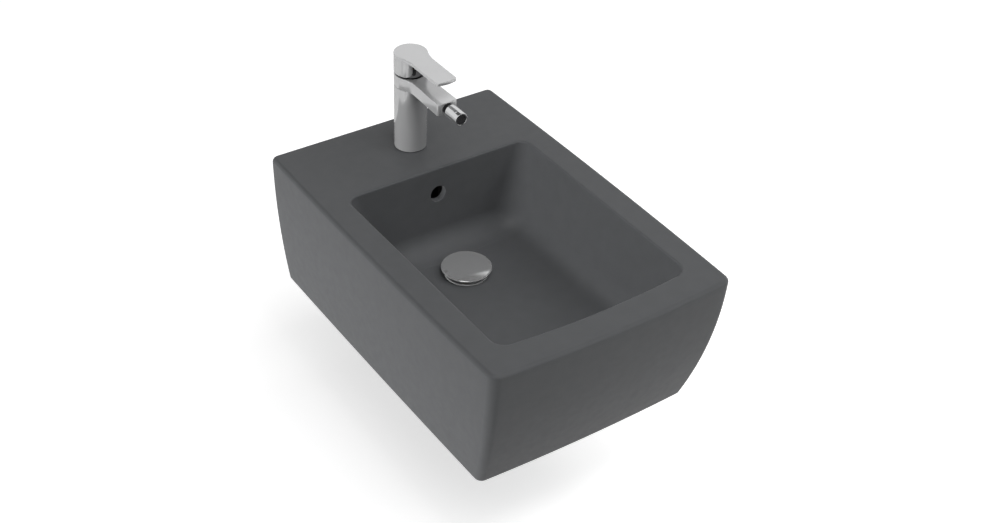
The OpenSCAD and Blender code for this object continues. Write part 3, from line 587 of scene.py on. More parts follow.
BRASS = Finish(
    "machined_brass", "brass", (0.66, 0.5, 0.24), 0.08, 0.005, (0.22, 0.38), 0.002,
    0.00001, 0.0005, 1.0,
)
RUBBER = Finish(
    "black_rubber", "black_rubber", (0.028, 0.028, 0.03), 0.15, 0.003, (0.6, 0.8), 0.002,
    0.00003, 0.0005,
)
BLACK_PLASTIC = Finish(
    "black_plastic", "black_plastic", (0.02, 0.02, 0.021), 0.1, 0.004, (0.3, 0.42), 0.003,
    0.00001, 0.0004,
)
WHITE_PLASTIC = Finish(
    "white_plastic", "white_plastic", (0.72, 0.72, 0.7), 0.03, 0.006, (0.38, 0.5), 0.004,
    0.00001, 0.0005,
)
DISC_CERAMIC = Finish(
    "lapped_ceramic", "disc_ceramic", (0.8, 0.8, 0.78), 0.02, 0.004, (0.12, 0.2), 0.003,
)
FINISHES = (
    GRAPHITE, CHROME, SOFT_CHROME, SATIN_CHROME, SHADE_PAINTED_CHROME, STEEL, BLACK_STEEL, BRASS, RUBBER,
    BLACK_PLASTIC, WHITE_PLASTIC, DISC_CERAMIC,
)


class Paint:
    """Builds each finish once and puts it on pieces and on the nodes that keep their own shape."""

    def __init__(self) -> None:
        """Makes all materials; where finishes share a slot, the first one listed dresses its nodes."""
        self.made = {f.name: f.build() for f in FINISHES}
        self.of_slot = {f.slot: self.made[f.name] for f in reversed(FINISHES)}

    def piece(self, obj: Obj, finish: Finish, body: Body, stands_for: str) -> None:
        """Finishes a new piece: smooth shading with crisp edges, material, body and the node it stands for.

        Args:
            obj: the piece.
            finish: its finish.
            body: the body it rides on.
            stands_for: the node that it replaces.
        """
        obj.data.materials.clear()
        obj.data.materials.append(self.made[finish.name])
        obj.data.shade_smooth()
        obj.data.set_sharp_from_angle(angle=EDGE_ANGLE)
        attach(obj, body.value)
        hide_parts(stands_for)
        LOG.info("%s: %d faces", obj.name, len(obj.data.polygons))

    def nodes(self) -> None:
        """Gives every node that is still shown the finish of its slot."""
        slots = {s["node"]: s["material_slot"] for s in frame["record"]["subparts"]}
        for name, obj in frame["nodes"].items():
            material = self.of_slot[slots[name]]
            if not obj.material_slots:
                obj.data.materials.append(material)
            for place in obj.material_slots:
                place.material = material


# Pieces


@dataclass
class Assembly:
    """A part of the bidet that builds its pieces and hands them over to be finished."""

    paint: Paint


# Ceramic


@dataclass
class Ceramic(Assembly):
    """The cast body: outer walls, rim, sunk bowl, deck, waste boss, overflow duct and fixing bosses."""

    width: float = 375.0
    length: float = 560.0
    height: float = 219.0
    wall: float = 12.0
    deck: float = 14.0
    back_wall: float = 14.0
    front_corner: float = 13.5
    front_low_corner: float = 10.0
    back_corner: float = 4.0
    top_edge: float = 5.7
    bottom_edge: float = 5.0
    side_lean: float = 20.0
    front_lean: float = 50.5
    side_share: float = 0.135
    front_share: float = 0.256
    front_bow: float = 7.5
    front_low_bow: float = 4.0
    side_bow: float = 3.5
    side_low_bow: float = 1.5
    lip: float = 14.0
    lip_t: float = 11.0
    inner_corner: float = 7.0
    side_rim: float = 41.7
    front_rim: float = 44.6
    rim_shares: tuple[float, ...] = (0.02, 0.1, 0.3, 0.5, 0.7, 0.9, 0.98)
    deck_length: float = 142.3
    bowl_bow: float = 8.4
    bowl_depth: float = 131.0
    floor_rise: float = 7.0
    back_fall: float = 6.0
    inner_edge: float = 3.0
    bowl_corner: float = 16.0
    foot_corner: float = 42.0
    least_corner: float = 6.0
    foot: float = 34.0
    side_draft: float = math.radians(7)
    back_draft: float = math.radians(3)
    front_draft: float = math.radians(9)
    edge_steps: int = 8
    flank_steps: int = 29
    inside_steps: int = 8
    bowl_steps: int = 14
    behind_steps: int = 8
    corner_steps: int = 10
    side_steps: tuple[int, ...] = (24, 36, 36, 36)
    drain: float = 220.0
    drain_flat: float = 34.0
    boss_r: float = 38.0
    boss_low: float = -167.5
    seat_r: float = 32.0
    seat: float = -134.5
    chamber_r: float = 31.0
    chamber_low: float = -159.5
    chamber_top: float = -146.5
    waste_r: float = 23.0
    tap: float = 70.0
    tap_r: float = 17.5
    overflow_drop: float = 41.5
    overflow_r: float = 12.5
    overflow_mouth: float = 1.0
    overflow_span: tuple[float, float] = (124.3, 145.6)
    duct_half: float = 25.0
    duct_inner_half: float = 19.0
    duct_wall: float = 6.0
    duct_chamfer: float = 6.0
    duct_top: float = 20.0
    duct_back: float = 34.0
    duct_front: float = 15.5
    # where shade is painted inside the overflow duct: its sides, its back, its heights, and how near and how
    # square a face must lie
    shade_side: tuple[float, float] = (-206.0, -114.0)
    shade_back: tuple[float, float] = (-134.2, -114.2)
    shade_height: tuple[float, float] = (-160.0, -25.9)
    shade_near: float = 0.1
    shade_square: float = 0.9
    fixing_drop: float = 75.0
    fixing_x: float = 90.0
    fixing_r: float = 9.55
    fixing_depth: float = 27.0
    fixing_boss_r: float = 23.0
    fixing_boss: float = 12.0
    trap_half: float = 60.0
    trap_top: float = -115.0
    trap_r: float = 18.0
    trap_depth: float = 29.0

    @property
    def foot_drop(self) -> float:
        """Depth at which the bowl's walls turn into the floor."""
        return self.bowl_depth - self.floor_rise - self.foot

    def fall(self, drop: np.ndarray | float) -> np.ndarray:
        """How much lower the bowl lies at its back than at its front, at a depth below the rim."""
        return self.back_fall * np.clip((drop - self.deck) / (self.foot_drop - self.deck), 0, 1) ** 2

    def bowl_levels(self, drop: np.ndarray, inset: np.ndarray, grow: float, z: np.ndarray) -> np.ndarray:
        """Levels of the bowl: the walls lean in with depth by their draft, and a fillet insets them further.

        Args:
            drop: depth below the rim of each level, on the wall.
            inset: how far the fillet moves each level in.
            grow: the distance behind the glazed surface.
            z: the height of each level.

        Returns:
            One row of level values for each level; see points.
        """
        share = np.clip(drop / self.foot_drop, 0, 1)
        corner = self.bowl_corner + (self.foot_corner - self.bowl_corner) * share + grow - inset
        same = np.ones_like(drop)
        return np.stack([
            self.width / 2 - self.side_rim - drop * math.tan(self.side_draft) - inset + grow,
            -self.deck_length - drop * math.tan(self.back_draft) - inset + grow,
            self.front_rim - self.length + drop * math.tan(self.front_draft) + inset - grow,
            corner, corner, self.bowl_bow * same, 0 * same, z, self.fall(drop),
        ], axis=1)

    def bowl_skin(self, grow: float, top: float, fine: int) -> np.ndarray:
        """Levels from the flat round the waste over the floor and its fillet up to a depth below the rim.

        The floor's levels lie evenly between the flat and the fillet's lowest level. The fillet is a quarter
        circle, and the wall goes straight on from it.

        Args:
            grow: the distance behind the glazed surface.
            top: the depth of the last level.
            fine: steps in the fillet.

        Returns:
            Level values, the lowest first.
        """
        r = self.drain_flat + grow
        flat = np.array([r, r - self.drain, -r - self.drain, r, r, 0, 0, -self.bowl_depth - grow, 0])
        a = np.radians(np.linspace(90, 0, fine + 1))
        drop = np.full(fine + 1, self.foot_drop)
        far = self.foot + grow
        fillet = self.bowl_levels(drop, self.foot - far * np.cos(a), 0.0, -drop - far * np.sin(a))
        fillet[:, 3:5] = np.maximum(fillet[:, 3:5], self.least_corner)
        t = np.linspace(0, 1, fine // 2 + 1)[:-1, None]
        floor = flat + (fillet[0] - flat) * t
        drop = np.linspace(self.foot_drop, top, fine + 1)[1:]
        wall = self.bowl_levels(drop, 0 * drop, grow, -drop)
        return np.concatenate([floor, fillet, wall])

    def outer_levels(self, drop: np.ndarray, inset: np.ndarray, wall: float) -> np.ndarray:
        """Levels of the outer walls or of the hollow behind them.

        With t the depth over the height, the walls lean in by a share of t and the rest of t squared.
        The bows and the front corners shrink evenly with t.

        Args:
            drop: depth below the rim of each level.
            inset: how far an edge moves each level in.
            wall: the distance behind the outer walls, 0 on their outside.

        Returns:
            One row of level values for each level; see points.
        """
        t = drop / self.height
        side = self.side_lean * (self.side_share * t + (1 - self.side_share) * t * t)
        front = self.front_lean * (self.front_share * t + (1 - self.front_share) * t * t)
        same = np.ones_like(drop)
        corner = self.front_corner + (self.front_low_corner - self.front_corner) * t
        front_bow = self.front_bow + (self.front_low_bow - self.front_bow) * t
        side_bow = self.side_bow + (self.side_low_bow - self.side_bow) * t
        inside = wall > 0
        return np.stack([
            self.width / 2 - side - inset - wall,
            (-self.back_wall - inset) if inside else 0 * same,
            front + inset + wall - self.length,
            (self.inner_corner if inside else self.back_corner) * same,
            self.inner_corner * same if inside else corner - inset,
            front_bow, side_bow, -drop, 0 * same,
        ], axis=1)

    def points(self, levels: np.ndarray) -> np.ndarray:
        """Points of each level: a rectangle with four corner arcs, warped so that front and sides bow out.

        With u from -1 to 1 across and v from -1 at the back to 1 at the front, the front moves back by
        bow * u * u * v and the sides move in by bow * u * v * v. The back lies lower by the fall.

        Args:
            levels: half width, back y, front y, back and front corner radius, front and side bow, z and fall.

        Returns:
            An array of levels by points by three.
        """
        w, yb, yf, rb, rf, front_bow, side_bow, z, fall = (levels[:, i, None] for i in range(9))
        a = np.radians(np.linspace(0, 90, self.corner_steps + 1))[None, :]
        c, s = np.cos(a), np.sin(a)
        corners = [
            (w - rb + rb * c, yb - rb + rb * s), (rb - w - rb * s, yb - rb + rb * c),
            (rf - w - rf * c, yf + rf - rf * s), (w - rf + rf * s, yf + rf - rf * c),
        ]
        xs, ys = [], []
        for k, steps in enumerate(self.side_steps):
            x, y = corners[k]
            next_x, next_y = corners[(k + 1) % len(corners)]
            t = np.linspace(0, 1, steps + 1)[None, 1:-1]
            xs += [x, x[:, -1:] * (1 - t) + next_x[:, :1] * t]
            ys += [y, y[:, -1:] * (1 - t) + next_y[:, :1] * t]
        x, y = np.concatenate(xs, axis=1), np.concatenate(ys, axis=1)
        u = x / w
        v = ((yb + yf) / 2 - y) / ((yb - yf) / 2)
        return np.stack([
            x - side_bow * u * v * v,
            y + front_bow * u * u * np.maximum(v, 0),
            z - fall * (1 - v) / 2,
        ], axis=2)

    def shell(self) -> Obj:
        """Builds the closed skin: the bowl, the rim, the outside down to the lip, and up under the bowl.

        Every edge is a quarter circle, and the rim's levels lie between the inner and the outer edge by
        their shares of the way.

        Returns:
            The solid without its bosses and holes.
        """
        a = np.radians(np.linspace(0, 90, self.edge_steps + 1))
        down, in_ = 1 - np.sin(a), 1 - np.cos(a)
        edge = self.inner_edge
        inner = self.bowl_levels(np.full(self.edge_steps, edge), -edge * in_[1:], 0.0, -edge * down[1:])
        outer = self.outer_levels(self.top_edge * in_, self.top_edge * down, 0.0)
        rim = inner[-1] + (outer[0] - inner[-1]) * np.array(self.rim_shares)[:, None]
        drop = np.linspace(self.top_edge, self.height - self.bottom_edge, self.flank_steps + 1)[1:]
        flank = self.outer_levels(drop, 0 * drop, 0.0)
        bottom = self.outer_levels(self.height - self.bottom_edge * down[1:], self.bottom_edge * in_[1:], 0.0)
        lip_top = self.height - self.lip_t
        lip = self.outer_levels(np.array([self.height, lip_top]), np.full(2, self.lip), self.wall)
        drop = np.linspace(lip_top, self.deck, self.inside_steps + 1)
        inside = self.outer_levels(drop, 0 * drop, self.wall)
        levels = np.concatenate([
            self.bowl_skin(0.0, edge, self.bowl_steps), inner, rim, outer, flank, bottom, lip, inside,
            self.bowl_skin(self.wall, self.deck, self.behind_steps)[::-1],
        ])
        return skin("ceramic", lifted(self.points(levels)))

    def duct(self, depth: float, inset: float, low: float, front_y: float, floor_z: float) -> np.ndarray:
        """Side view of the overflow duct, outer or inner face, which follows the bowl's back wall and foot.

        Args:
            depth: the distance behind the glazed surface.
            inset: how far it lies inside the duct's outer face.
            low: the height of its floor.
            front_y: where it ends in front.
            floor_z: the height at which it meets the bowl's floor.

        Returns:
            A closed outline of y and z.
        """
        back = self.duct_back - self.deck_length - inset
        top = self.duct_top + inset
        y = depth - self.deck_length - top * math.tan(self.back_draft)
        centre_y = -self.deck_length - self.foot_drop * math.tan(self.back_draft) - self.foot
        start = np.array([
            [y, -top - self.fall(top)], [back, -top], [back, low + self.duct_chamfer],
            [back - self.duct_chamfer, low], [front_y, low], [front_y, floor_z],
        ])
        foot = arc(centre_y, -self.foot_drop - self.back_fall, self.foot + depth, -90, 0, 12)
        return np.concatenate([start, foot])

    def fixing_rods(self, r: float, start: float, end: float) -> list[Obj]:
        """Two rods where the wall's studs come through, from one distance from the wall to another."""
        return [rod(r, start, end, x=side * self.fixing_x, lying=-self.fixing_drop) for side in (-1, 1)]

    def trap_cutter(self) -> Obj:
        """Builds the cutter of the trap's opening in the back wall: an arch with rounded upper corners.

        Returns:
            The cutter, open downwards.
        """
        x, z, low = self.trap_half - self.trap_r, self.trap_top - self.trap_r, -self.height - PAST
        arch = np.concatenate([
            arc(x, z, self.trap_r, 0, 90, 8), arc(-x, z, self.trap_r, 90, 180, 8),
            [[-self.trap_half, low], [self.trap_half, low]],
        ])
        return carried(arch, Axis.AHEAD, PAST, -self.trap_depth)

    def paint_duct_shade(self, body: Obj) -> None:
        """Marks the faces inside the overflow duct, where no light comes, by an attribute of the faces; the
        glaze paints near-black shade on them.

        They lie on the duct's sides and face across, or they lie between its back and the bowl's wall.

        Args:
            body: the finished ceramic.
        """
        faces = body.data.polygons
        centre, normal = np.empty((2, 3 * len(faces)))
        faces.foreach_get("center", centre)
        faces.foreach_get("normal", normal)
        x, y, z = centre.reshape(-1, 3).T / MM
        x, z = np.abs(x), z - RIM_HEIGHT
        near, far = self.duct_inner_half - self.shade_near, self.duct_inner_half + self.shade_near
        square = np.abs(normal[::3]) > self.shade_square
        side = between(x, near, far) & square & between(y, *self.shade_side)
        back = (x < far) & between(y, *self.shade_back)
        dark = (side | back) & between(z, *self.shade_height)
        mark = body.data.attributes.new(GRAPHITE.painted_shade, "FLOAT", "FACE")
        mark.data.foreach_set("value", dark.astype(np.float32))

    def build(self) -> None:
        """Builds the ceramic, its bosses and its holes, and stands it in for its node."""
        body = self.shell()
        mid, thin = self.wall * 0.5, self.wall * 0.8
        outer_duct = self.duct(mid, 0.0, self.boss_low, -self.drain, -self.bowl_depth - mid)
        inner_duct = self.duct(
            thin, self.duct_wall, self.chamber_low, self.duct_front - self.drain, self.chamber_top
        )
        combine(
            body, Join.ADD,
            rod(self.boss_r, self.boss_low, self.seat - PAST, y=-self.drain),
            carried(outer_duct, Axis.ACROSS, -self.duct_half, self.duct_half),
            *self.fixing_rods(self.fixing_boss_r, self.back_wall - PAST, self.back_wall + self.fixing_boss),
        )
        combine(
            body, Join.CUT,
            carried(inner_duct, Axis.ACROSS, -self.duct_inner_half, self.duct_inner_half),
            rod(self.chamber_r, self.chamber_low, self.chamber_top, y=-self.drain),
            rod(self.waste_r, self.boss_low - PAST, -self.bowl_depth + PAST, y=-self.drain),
            rod(self.seat_r, self.seat, -self.bowl_depth + PAST, y=-self.drain),
            rod(self.tap_r, -self.deck - PAST, PAST, y=-self.tap),
            rod(self.overflow_r, *self.overflow_span, lying=-self.overflow_drop, mouth=self.overflow_mouth),
            *self.fixing_rods(self.fixing_r, -PAST, self.fixing_depth),
            self.trap_cutter(),
        )
        # paints shade inside the overflow duct, which a lamp without shadows would light
        self.paint_duct_shade(body)
        self.paint.piece(body, GRAPHITE, Body.FIXED, "ceramic_body")


# Tap


@dataclass
class Tap(Assembly):
    """Column with its collar and spout, the dome under the handle, and the handle with its cut-open hub.

    Each bore is given by its radius and its ends; a spout bore also by its height and its facets.
    """

    y: float = -70.0
    edge: float = 0.6
    top_edge: float = 0.8
    column_r: float = 23.2
    column_bore: float = 19.7
    column_low: float = 1.0
    column_top: float = 98.8
    groove_r: float = 22.3
    groove_top: float = 101.0
    column_facets: int = 144
    block_r: float = 21.0
    block_low: float = 77.5
    block_top: float = 100.0
    spout_low: float = 99.5
    spout_neck: float = 14.2
    spout_tip: float = 15.5
    spout_reach: float = 95.0
    spout_blend: float = 40.0
    spout_corner: float = 3.0
    spout_bow: float = 1.0
    collar_top: float = 117.0
    chamber_bores: tuple[tuple[float, float, float], ...] = (
        (18.2, 89.5, 118.0), (19.9, 109.0, 118.0), (21.15, 115.5, 118.0),
    )
    spout_bores: tuple[tuple[float, float, float, float, int], ...] = (
        (3.5, 17.2, 86.0, 105.8, 48), (4.85, 83.0, 95.0, 107.9, 48), (8.5, 92.0, 96.0, 107.9, 96),
    )
    inlet_bores: tuple[tuple[float, float, float], ...] = ((4.5, 76.5, 87.5), (4.0, 77.5, 90.5))
    inlet_x: float = 8.0
    inlet_ahead: float = 4.0
    lug_r: float = 6.0
    lug_high: float = 24.0
    lug_back: float = 14.0
    lug_within: float = 22.0
    stud_r: float = 3.05
    stud_high: float = 23.0
    dome_r: float = 18.0
    dome_inner_r: float = 16.6
    dome_hole: float = 11.3
    dome_low: float = 115.5
    flange_r: float = 21.1
    flange_edge: float = 0.2
    hub_r: float = 23.4
    hub_wall: float = 2.5
    hub_low: float = 120.0
    hub_edge: float = 0.4
    plate_low: float = 144.0
    plate_inset: float = 0.02
    top: float = 148.5
    lever_half: float = 16.0
    lever_reach: float = 94.0
    lever_blend: float = 60.0
    lever_corner: float = 4.5
    lever_bow: float = 1.5
    opening_half: float = 10.0
    opening_r: float = 10.0
    opening_depth: float = 30.0
    stem_boss_r: float = 8.5
    stem_boss: float = 14.0
    socket_half: float = 4.05
    socket_low: float = 15.0
    socket_top: float = 1.95
    screw_r: float = 2.55
    screw_drop: float = 7.0
    screw_depth: float = 9.5
    pivot: float = 112.2
    lift: float = math.radians(20)
    lift_gap: float = 0.6

    def column(self) -> None:
        """Builds the hollow column, the groove under the collar and the spout bar in one casting."""
        bore, groove, ahead = self.column_bore, self.groove_r, -self.y
        wall = rounded([
            (bore, self.column_low, 0), (self.column_r, self.column_low, self.edge),
            (self.column_r, self.column_top, self.edge), (groove, self.column_top, 0),
            (groove, self.groove_top, 0), (bore, self.groove_top, 0),
        ])
        plan = Key(
            self.column_r, self.spout_neck, self.spout_tip, self.spout_reach, self.spout_blend,
            self.spout_corner, self.spout_bow,
        )
        body = lathe("tap_column", wall, y=self.y, steps=self.column_facets)
        stack = soft_stack(self.spout_low, self.collar_top, self.edge, self.top_edge)
        bar = prism("spout", plan.outline(), stack, y=self.y)
        combine(body, Join.ADD, rod(self.block_r, self.block_low, self.block_top, y=self.y), bar)
        combine(
            body, Join.CUT,
            *(rod(r, low, high, y=self.y) for r, low, high in self.chamber_bores),
            *(rod(r, ahead + start, ahead + end, lying=z, steps=facets)
              for r, start, end, z, facets in self.spout_bores),
            *(rod(r, low, high, x=side * self.inlet_x, y=self.y - self.inlet_ahead, steps=SMALL_FACETS)
              for r, low, high in self.inlet_bores for side in (-1, 1)),
        )
        back, low = self.y + self.lug_back, self.column_low
        lug = rod(self.lug_r, low, self.lug_high, y=back)
        combine(lug, Join.KEEP, rod(self.lug_within, low, self.lug_high, y=self.y))
        combine(body, Join.ADD, lug)
        combine(body, Join.CUT, rod(self.stud_r, low - PAST, self.stud_high, y=back, steps=SMALL_FACETS))
        self.paint.piece(body, SOFT_CHROME, Body.FIXED, "tap_body")

    def dome(self) -> None:
        """Builds the dome: part of a sphere round the pivot, with its flange in the collar; its chrome is
        painted nearly black as painted shade.
        """
        out, inn, hole = self.dome_r, self.dome_inner_r, self.dome_hole
        low_in = up_angle(self.dome_low - self.pivot, inn)
        top_in = up_angle(math.sqrt(inn**2 - hole**2), inn)
        top_out = up_angle(math.sqrt(out**2 - hole**2), out)
        flange_out = up_angle(self.collar_top - self.pivot, out)
        edge = self.flange_edge
        profile = np.concatenate([
            arc(0, self.pivot, inn, low_in, top_in, 24),
            arc(0, self.pivot, out, top_out, flange_out, 32),
            [[self.flange_r - edge, self.collar_top], [self.flange_r, self.collar_top - edge],
             [self.flange_r, self.dome_low]],
        ])
        self.paint.piece(lathe("dome", profile, y=self.y), SHADE_PAINTED_CHROME, Body.FIXED, "dome_cover")

    def relief(self) -> np.ndarray:
        """Side view of the wedge that frees the hub's back edge when the lever is lifted.

        Its sloped side is the collar's top plus a gap, turned back by the lift round the pivot.

        Returns:
            A closed outline of y and z.
        """
        gap = self.collar_top + self.lift_gap - self.pivot
        start = ((self.hub_low - self.pivot) * math.cos(self.lift) - gap) / math.sin(self.lift)
        far = self.hub_r + PAST
        far_z = self.pivot + (gap + far * math.sin(self.lift)) / math.cos(self.lift)
        low = self.hub_low - PAST
        side = np.array([[start, low], [far, low], [far, far_z], [start, self.hub_low]])
        return side + np.array([self.y, 0.0])

    def opening(self) -> Obj:
        """Builds the cutter of the hub's opening under the lever, which flares out along two quarter circles.

        Returns:
            The cutter.
        """
        half, r = self.opening_half, self.opening_r
        left = np.concatenate([
            [[-half, self.plate_low]], arc(-half - r, self.hub_low + r, r, 0, -90, 16),
            [[-self.hub_r - 2 * PAST, self.hub_low - PAST]],
        ])
        front = np.concatenate([left, left[::-1] * np.array([-1.0, 1.0])])
        return carried(front, Axis.AHEAD, 0.0, -self.opening_depth, y=self.y)

    def handle(self) -> None:
        """Builds the lever plate with its hub wall, the opening under the lever and the boss for the stem."""
        plan = Key(
            self.hub_r - self.plate_inset, self.lever_half, self.lever_half, self.lever_reach,
            self.lever_blend, self.lever_corner, self.lever_bow,
        )
        stack = soft_stack(self.plate_low, self.top, self.edge, self.top_edge)
        body = prism("handle", plan.outline(), stack, y=self.y)
        inner, wall_top = self.hub_r - self.hub_wall, self.top - self.top_edge
        wall = rounded([
            (inner, self.hub_low, self.hub_edge), (self.hub_r, self.hub_low, self.hub_edge),
            (self.hub_r, wall_top, 0), (inner, wall_top, 0),
        ])
        skirt = lathe("skirt", wall, y=self.y, steps=self.column_facets)
        relief = carried(self.relief(), Axis.ACROSS, -self.opening_depth, self.opening_depth)
        combine(skirt, Join.CUT, self.opening(), relief)
        boss = rod(self.stem_boss_r, self.plate_low - self.stem_boss, self.plate_low + PAST, y=self.y)
        combine(body, Join.ADD, skirt, boss)
        square = self.socket_half * np.array([[1.0, 1.0], [-1.0, 1.0], [-1.0, -1.0], [1.0, -1.0]])
        low, high = self.plate_low - self.socket_low, self.plate_low - self.socket_top
        combine(
            body, Join.CUT, carried(square, Axis.UP, low, high, y=self.y),
            rod(self.screw_r, -self.y, -self.y + self.screw_depth, lying=self.plate_low - self.screw_drop,
                steps=32),
        )
        self.paint.piece(body, SOFT_CHROME, Body.LEVER, "handle")

    def build(self) -> None:
        """Builds the tap's chrome pieces."""
        self.column()
        self.dome()
        self.handle()


# Nozzle


@dataclass
class Nozzle(Assembly):
    """The swivelling nozzle: a chrome sleeve round a black ball, with the outlet in its end."""

    ball_y: float = 177.2
    axis: float = 107.9
    r: float = 9.5
    mouth: float = -5.2
    length: float = 26.5
    socket: float = 8.1
    bore: float = 5.6
    outlet: float = 7.85
    outlet_depth: float = 11.5
    outlet_edge: float = 0.25
    front_edge: float = 0.6
    back_edge: float = 0.5

    def build(self) -> None:
        """Builds the sleeve: a tube with a ball's seat behind and a counterbore for the outlet in front."""
        end = self.mouth + self.length
        seat = end - self.outlet_depth
        first = math.degrees(math.acos(self.mouth / self.socket))
        ball = arc(0, 0, self.socket, first, up_angle(self.bore, self.socket), 24)
        front, back = self.front_edge, self.back_edge
        profile = np.concatenate([
            ball[:, ::-1],
            [[self.bore, seat], [self.outlet, seat], [self.outlet, end - self.outlet_edge],
             [self.outlet + self.outlet_edge, end]],
            arc(self.r - front, end - front, front, 90, 0, 6),
            arc(self.r - back, self.mouth + back, back, 0, -90, 6),
        ])
        profile[:, 1] += self.ball_y
        sleeve = lathe("nozzle_sleeve_turned", profile, lying=self.axis)
        self.paint.piece(sleeve, CHROME, Body.NOZZLE, "nozzle_sleeve")


# Waste


@dataclass
class Waste(Assembly):
    """The push-open waste: its flanged tube, its raised cap and the cap's spring."""

    y: float = -220.0
    flange_top: float = -130.0
    flange_t: float = 3.0
    flange_r: float = 31.0
    flange_ring: float = 3.0
    tube_r: float = 20.95
    tube_bore: float = 18.95
    tube_low: float = -190.0
    slots: int = 4
    slot_half: float = 6.0
    slot_reach: float = 22.0
    slot_low: float = -156.5
    slot_top: float = -149.5
    cap_top: float = -118.0
    cap_r: float = 36.0
    cap_crown: float = 1.5
    cap_bevel: float = 1.6
    cap_t: float = 3.0
    cap_skirt: float = 4.0
    cap_boss_r: float = 9.0
    cap_core: float = 0.5
    cap_facets: int = 128
    spring_low: float = -163.5
    spring_high: float = -124.0
    spring_r: float = 6.2
    spring_turns: int = 8
    turn_steps: int = 36
    wire_r: float = 0.8
    wire_steps: int = 12
    travel: float = 7.0

    def slot(self, turn: float) -> Obj:
        """Builds the cutter of one slot, which runs out from the tube's axis.

        Args:
            turn: its direction, as an angle.

        Returns:
            The cutter.
        """
        far, half = self.slot_reach, self.slot_half
        along = np.array([[0, -half], [far, -half], [far, half], [0, half]])
        spin = np.array([[math.cos(turn), math.sin(turn)], [-math.sin(turn), math.cos(turn)]])
        return carried(along @ spin, Axis.UP, self.slot_low, self.slot_top, y=self.y)

    def tube(self) -> None:
        """Builds the flange ring with its dish, and the slotted tube under it."""
        low, top, ring = self.flange_top - self.flange_t, self.flange_top, self.flange_r - self.flange_ring
        profile = rounded([
            (self.tube_bore, self.tube_low, 0.3), (self.tube_r, self.tube_low, 0.3), (self.tube_r, low, 0.3),
            (self.flange_r, low, 0.3), (self.flange_r, top, 1.1), (ring, top, 0.8),
            (self.tube_bore, low, 1.0),
        ])
        body = lathe("waste_tube", profile, y=self.y)
        combine(body, Join.CUT, *(self.slot(math.radians(360 / self.slots * k)) for k in range(self.slots)))
        self.paint.piece(body, SOFT_CHROME, Body.FIXED, "waste_body")

    def cap(self) -> None:
        """Builds the cap: a disc with a slight crown, a bevelled rim, a short skirt and a boss for the stem.

        The crown falls from the middle by the square of the radius. The rim's last corner only gives the
        first one its direction, so its points are left out. The core's points are moved onto the axis.
        """
        r, top, core = self.cap_r, self.cap_top, self.cap_core
        flat, low = r - self.cap_bevel, top - self.cap_crown
        under, edge = top - self.cap_t, top - self.cap_skirt
        boss, boss_low = self.cap_boss_r, under - self.cap_t
        u = np.linspace(0, 1, 25)[:, None]
        crown = np.concatenate([flat * u, top - self.cap_crown * u * u], axis=1)
        rim = rounded([
            (flat, low, 0.3), (r, low - 1.0, 0.5), (r, edge, 0.4), (r - 4, edge, 0.4), (r - 5, under, 0.4),
            (boss, under, 0.3), (boss, boss_low, 0.3), (core, boss_low, 0), (core, low, 0),
        ])
        profile = np.concatenate([crown[:-1], rim[:-CORNER_STEPS - 1]])
        profile[profile[:, 0] < 2 * core, 0] = 0.0
        disc = lathe("cap_disc", profile, y=self.y, steps=self.cap_facets)
        self.paint.piece(disc, SATIN_CHROME, Body.PLUG, "waste_cap")

    def spring(self) -> None:
        """Builds the cap's spring: a circle of wire carried up a helix."""
        t = np.linspace(0, 1, self.turn_steps * self.spring_turns + 1)[:, None]
        turn = 2 * math.pi * self.spring_turns * t
        a = np.linspace(0, 2 * math.pi, self.wire_steps, endpoint=False)[None, :]
        r = self.spring_r + self.wire_r * np.cos(a)
        rise = self.spring_high - self.spring_low - 2 * self.wire_r
        z = self.spring_low + self.wire_r + rise * t + self.wire_r * np.sin(a)
        coil = skin("cap_coil", lifted(np.stack([r * np.cos(turn), r * np.sin(turn), z], axis=2), y=self.y))
        self.paint.piece(coil, STEEL, Body.FIXED, "cap_spring")
        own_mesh(coil)

    def build(self) -> None:
        """Builds the waste's chrome pieces and its spring."""
        self.tube()
        self.cap()
        self.spring()


# Stage


@dataclass(frozen=True)
class Lamp:
    """A square soft lamp that points at the bowl from an azimuth and an elevation in degrees.

    A bare lamp casts no shadow: it stands for the light that a white studio throws back from all round.
    Only a bright lamp shows in the metal. Its size, distance and target are in metres.
    """

    name: str
    azimuth: float
    elevation: float
    watts: float
    bare: bool = False
    bright: bool = False
    size: float = 1.2
    distance: float = 2.4
    target: tuple[float, float, float] = (0.0, -0.28, 0.0)

    def build(self) -> None:
        """Makes the lamp: its own Z points away from the target, its X lies level."""
        data = bpy.data.lights.new(self.name, "AREA")
        data.size = self.size
        data.energy = self.watts
        data.use_shadow = not self.bare
        obj = bpy.data.objects.new(self.name, data)
        bpy.context.scene.collection.objects.link(obj)
        obj.visible_camera = False
        obj.visible_glossy = self.bright
        a, e = math.radians(self.azimuth), math.radians(self.elevation)
        away = np.array([math.cos(e) * math.cos(a), math.cos(e) * math.sin(a), math.sin(e)])
        side = np.cross(away, [0, 0, 1.0])
        side /= -np.linalg.norm(side)
        axes = np.eye(4)
        axes[:3] = np.stack([side, np.cross(away, side), away, self.target + self.distance * away], axis=1)
        obj.matrix_world = Matrix(axes.tolist())


LAMPS = (
    Lamp("left_bounce", 165, -20, 68.0, bare=True),
    Lamp("front_left", 225, 60, 15.0, bright=True),
    Lamp("front_top", 270, 70, 28.0),
    Lamp("right", 315, 40, 20.0),
    Lamp("right_top", 0, 60, 9.0),
)


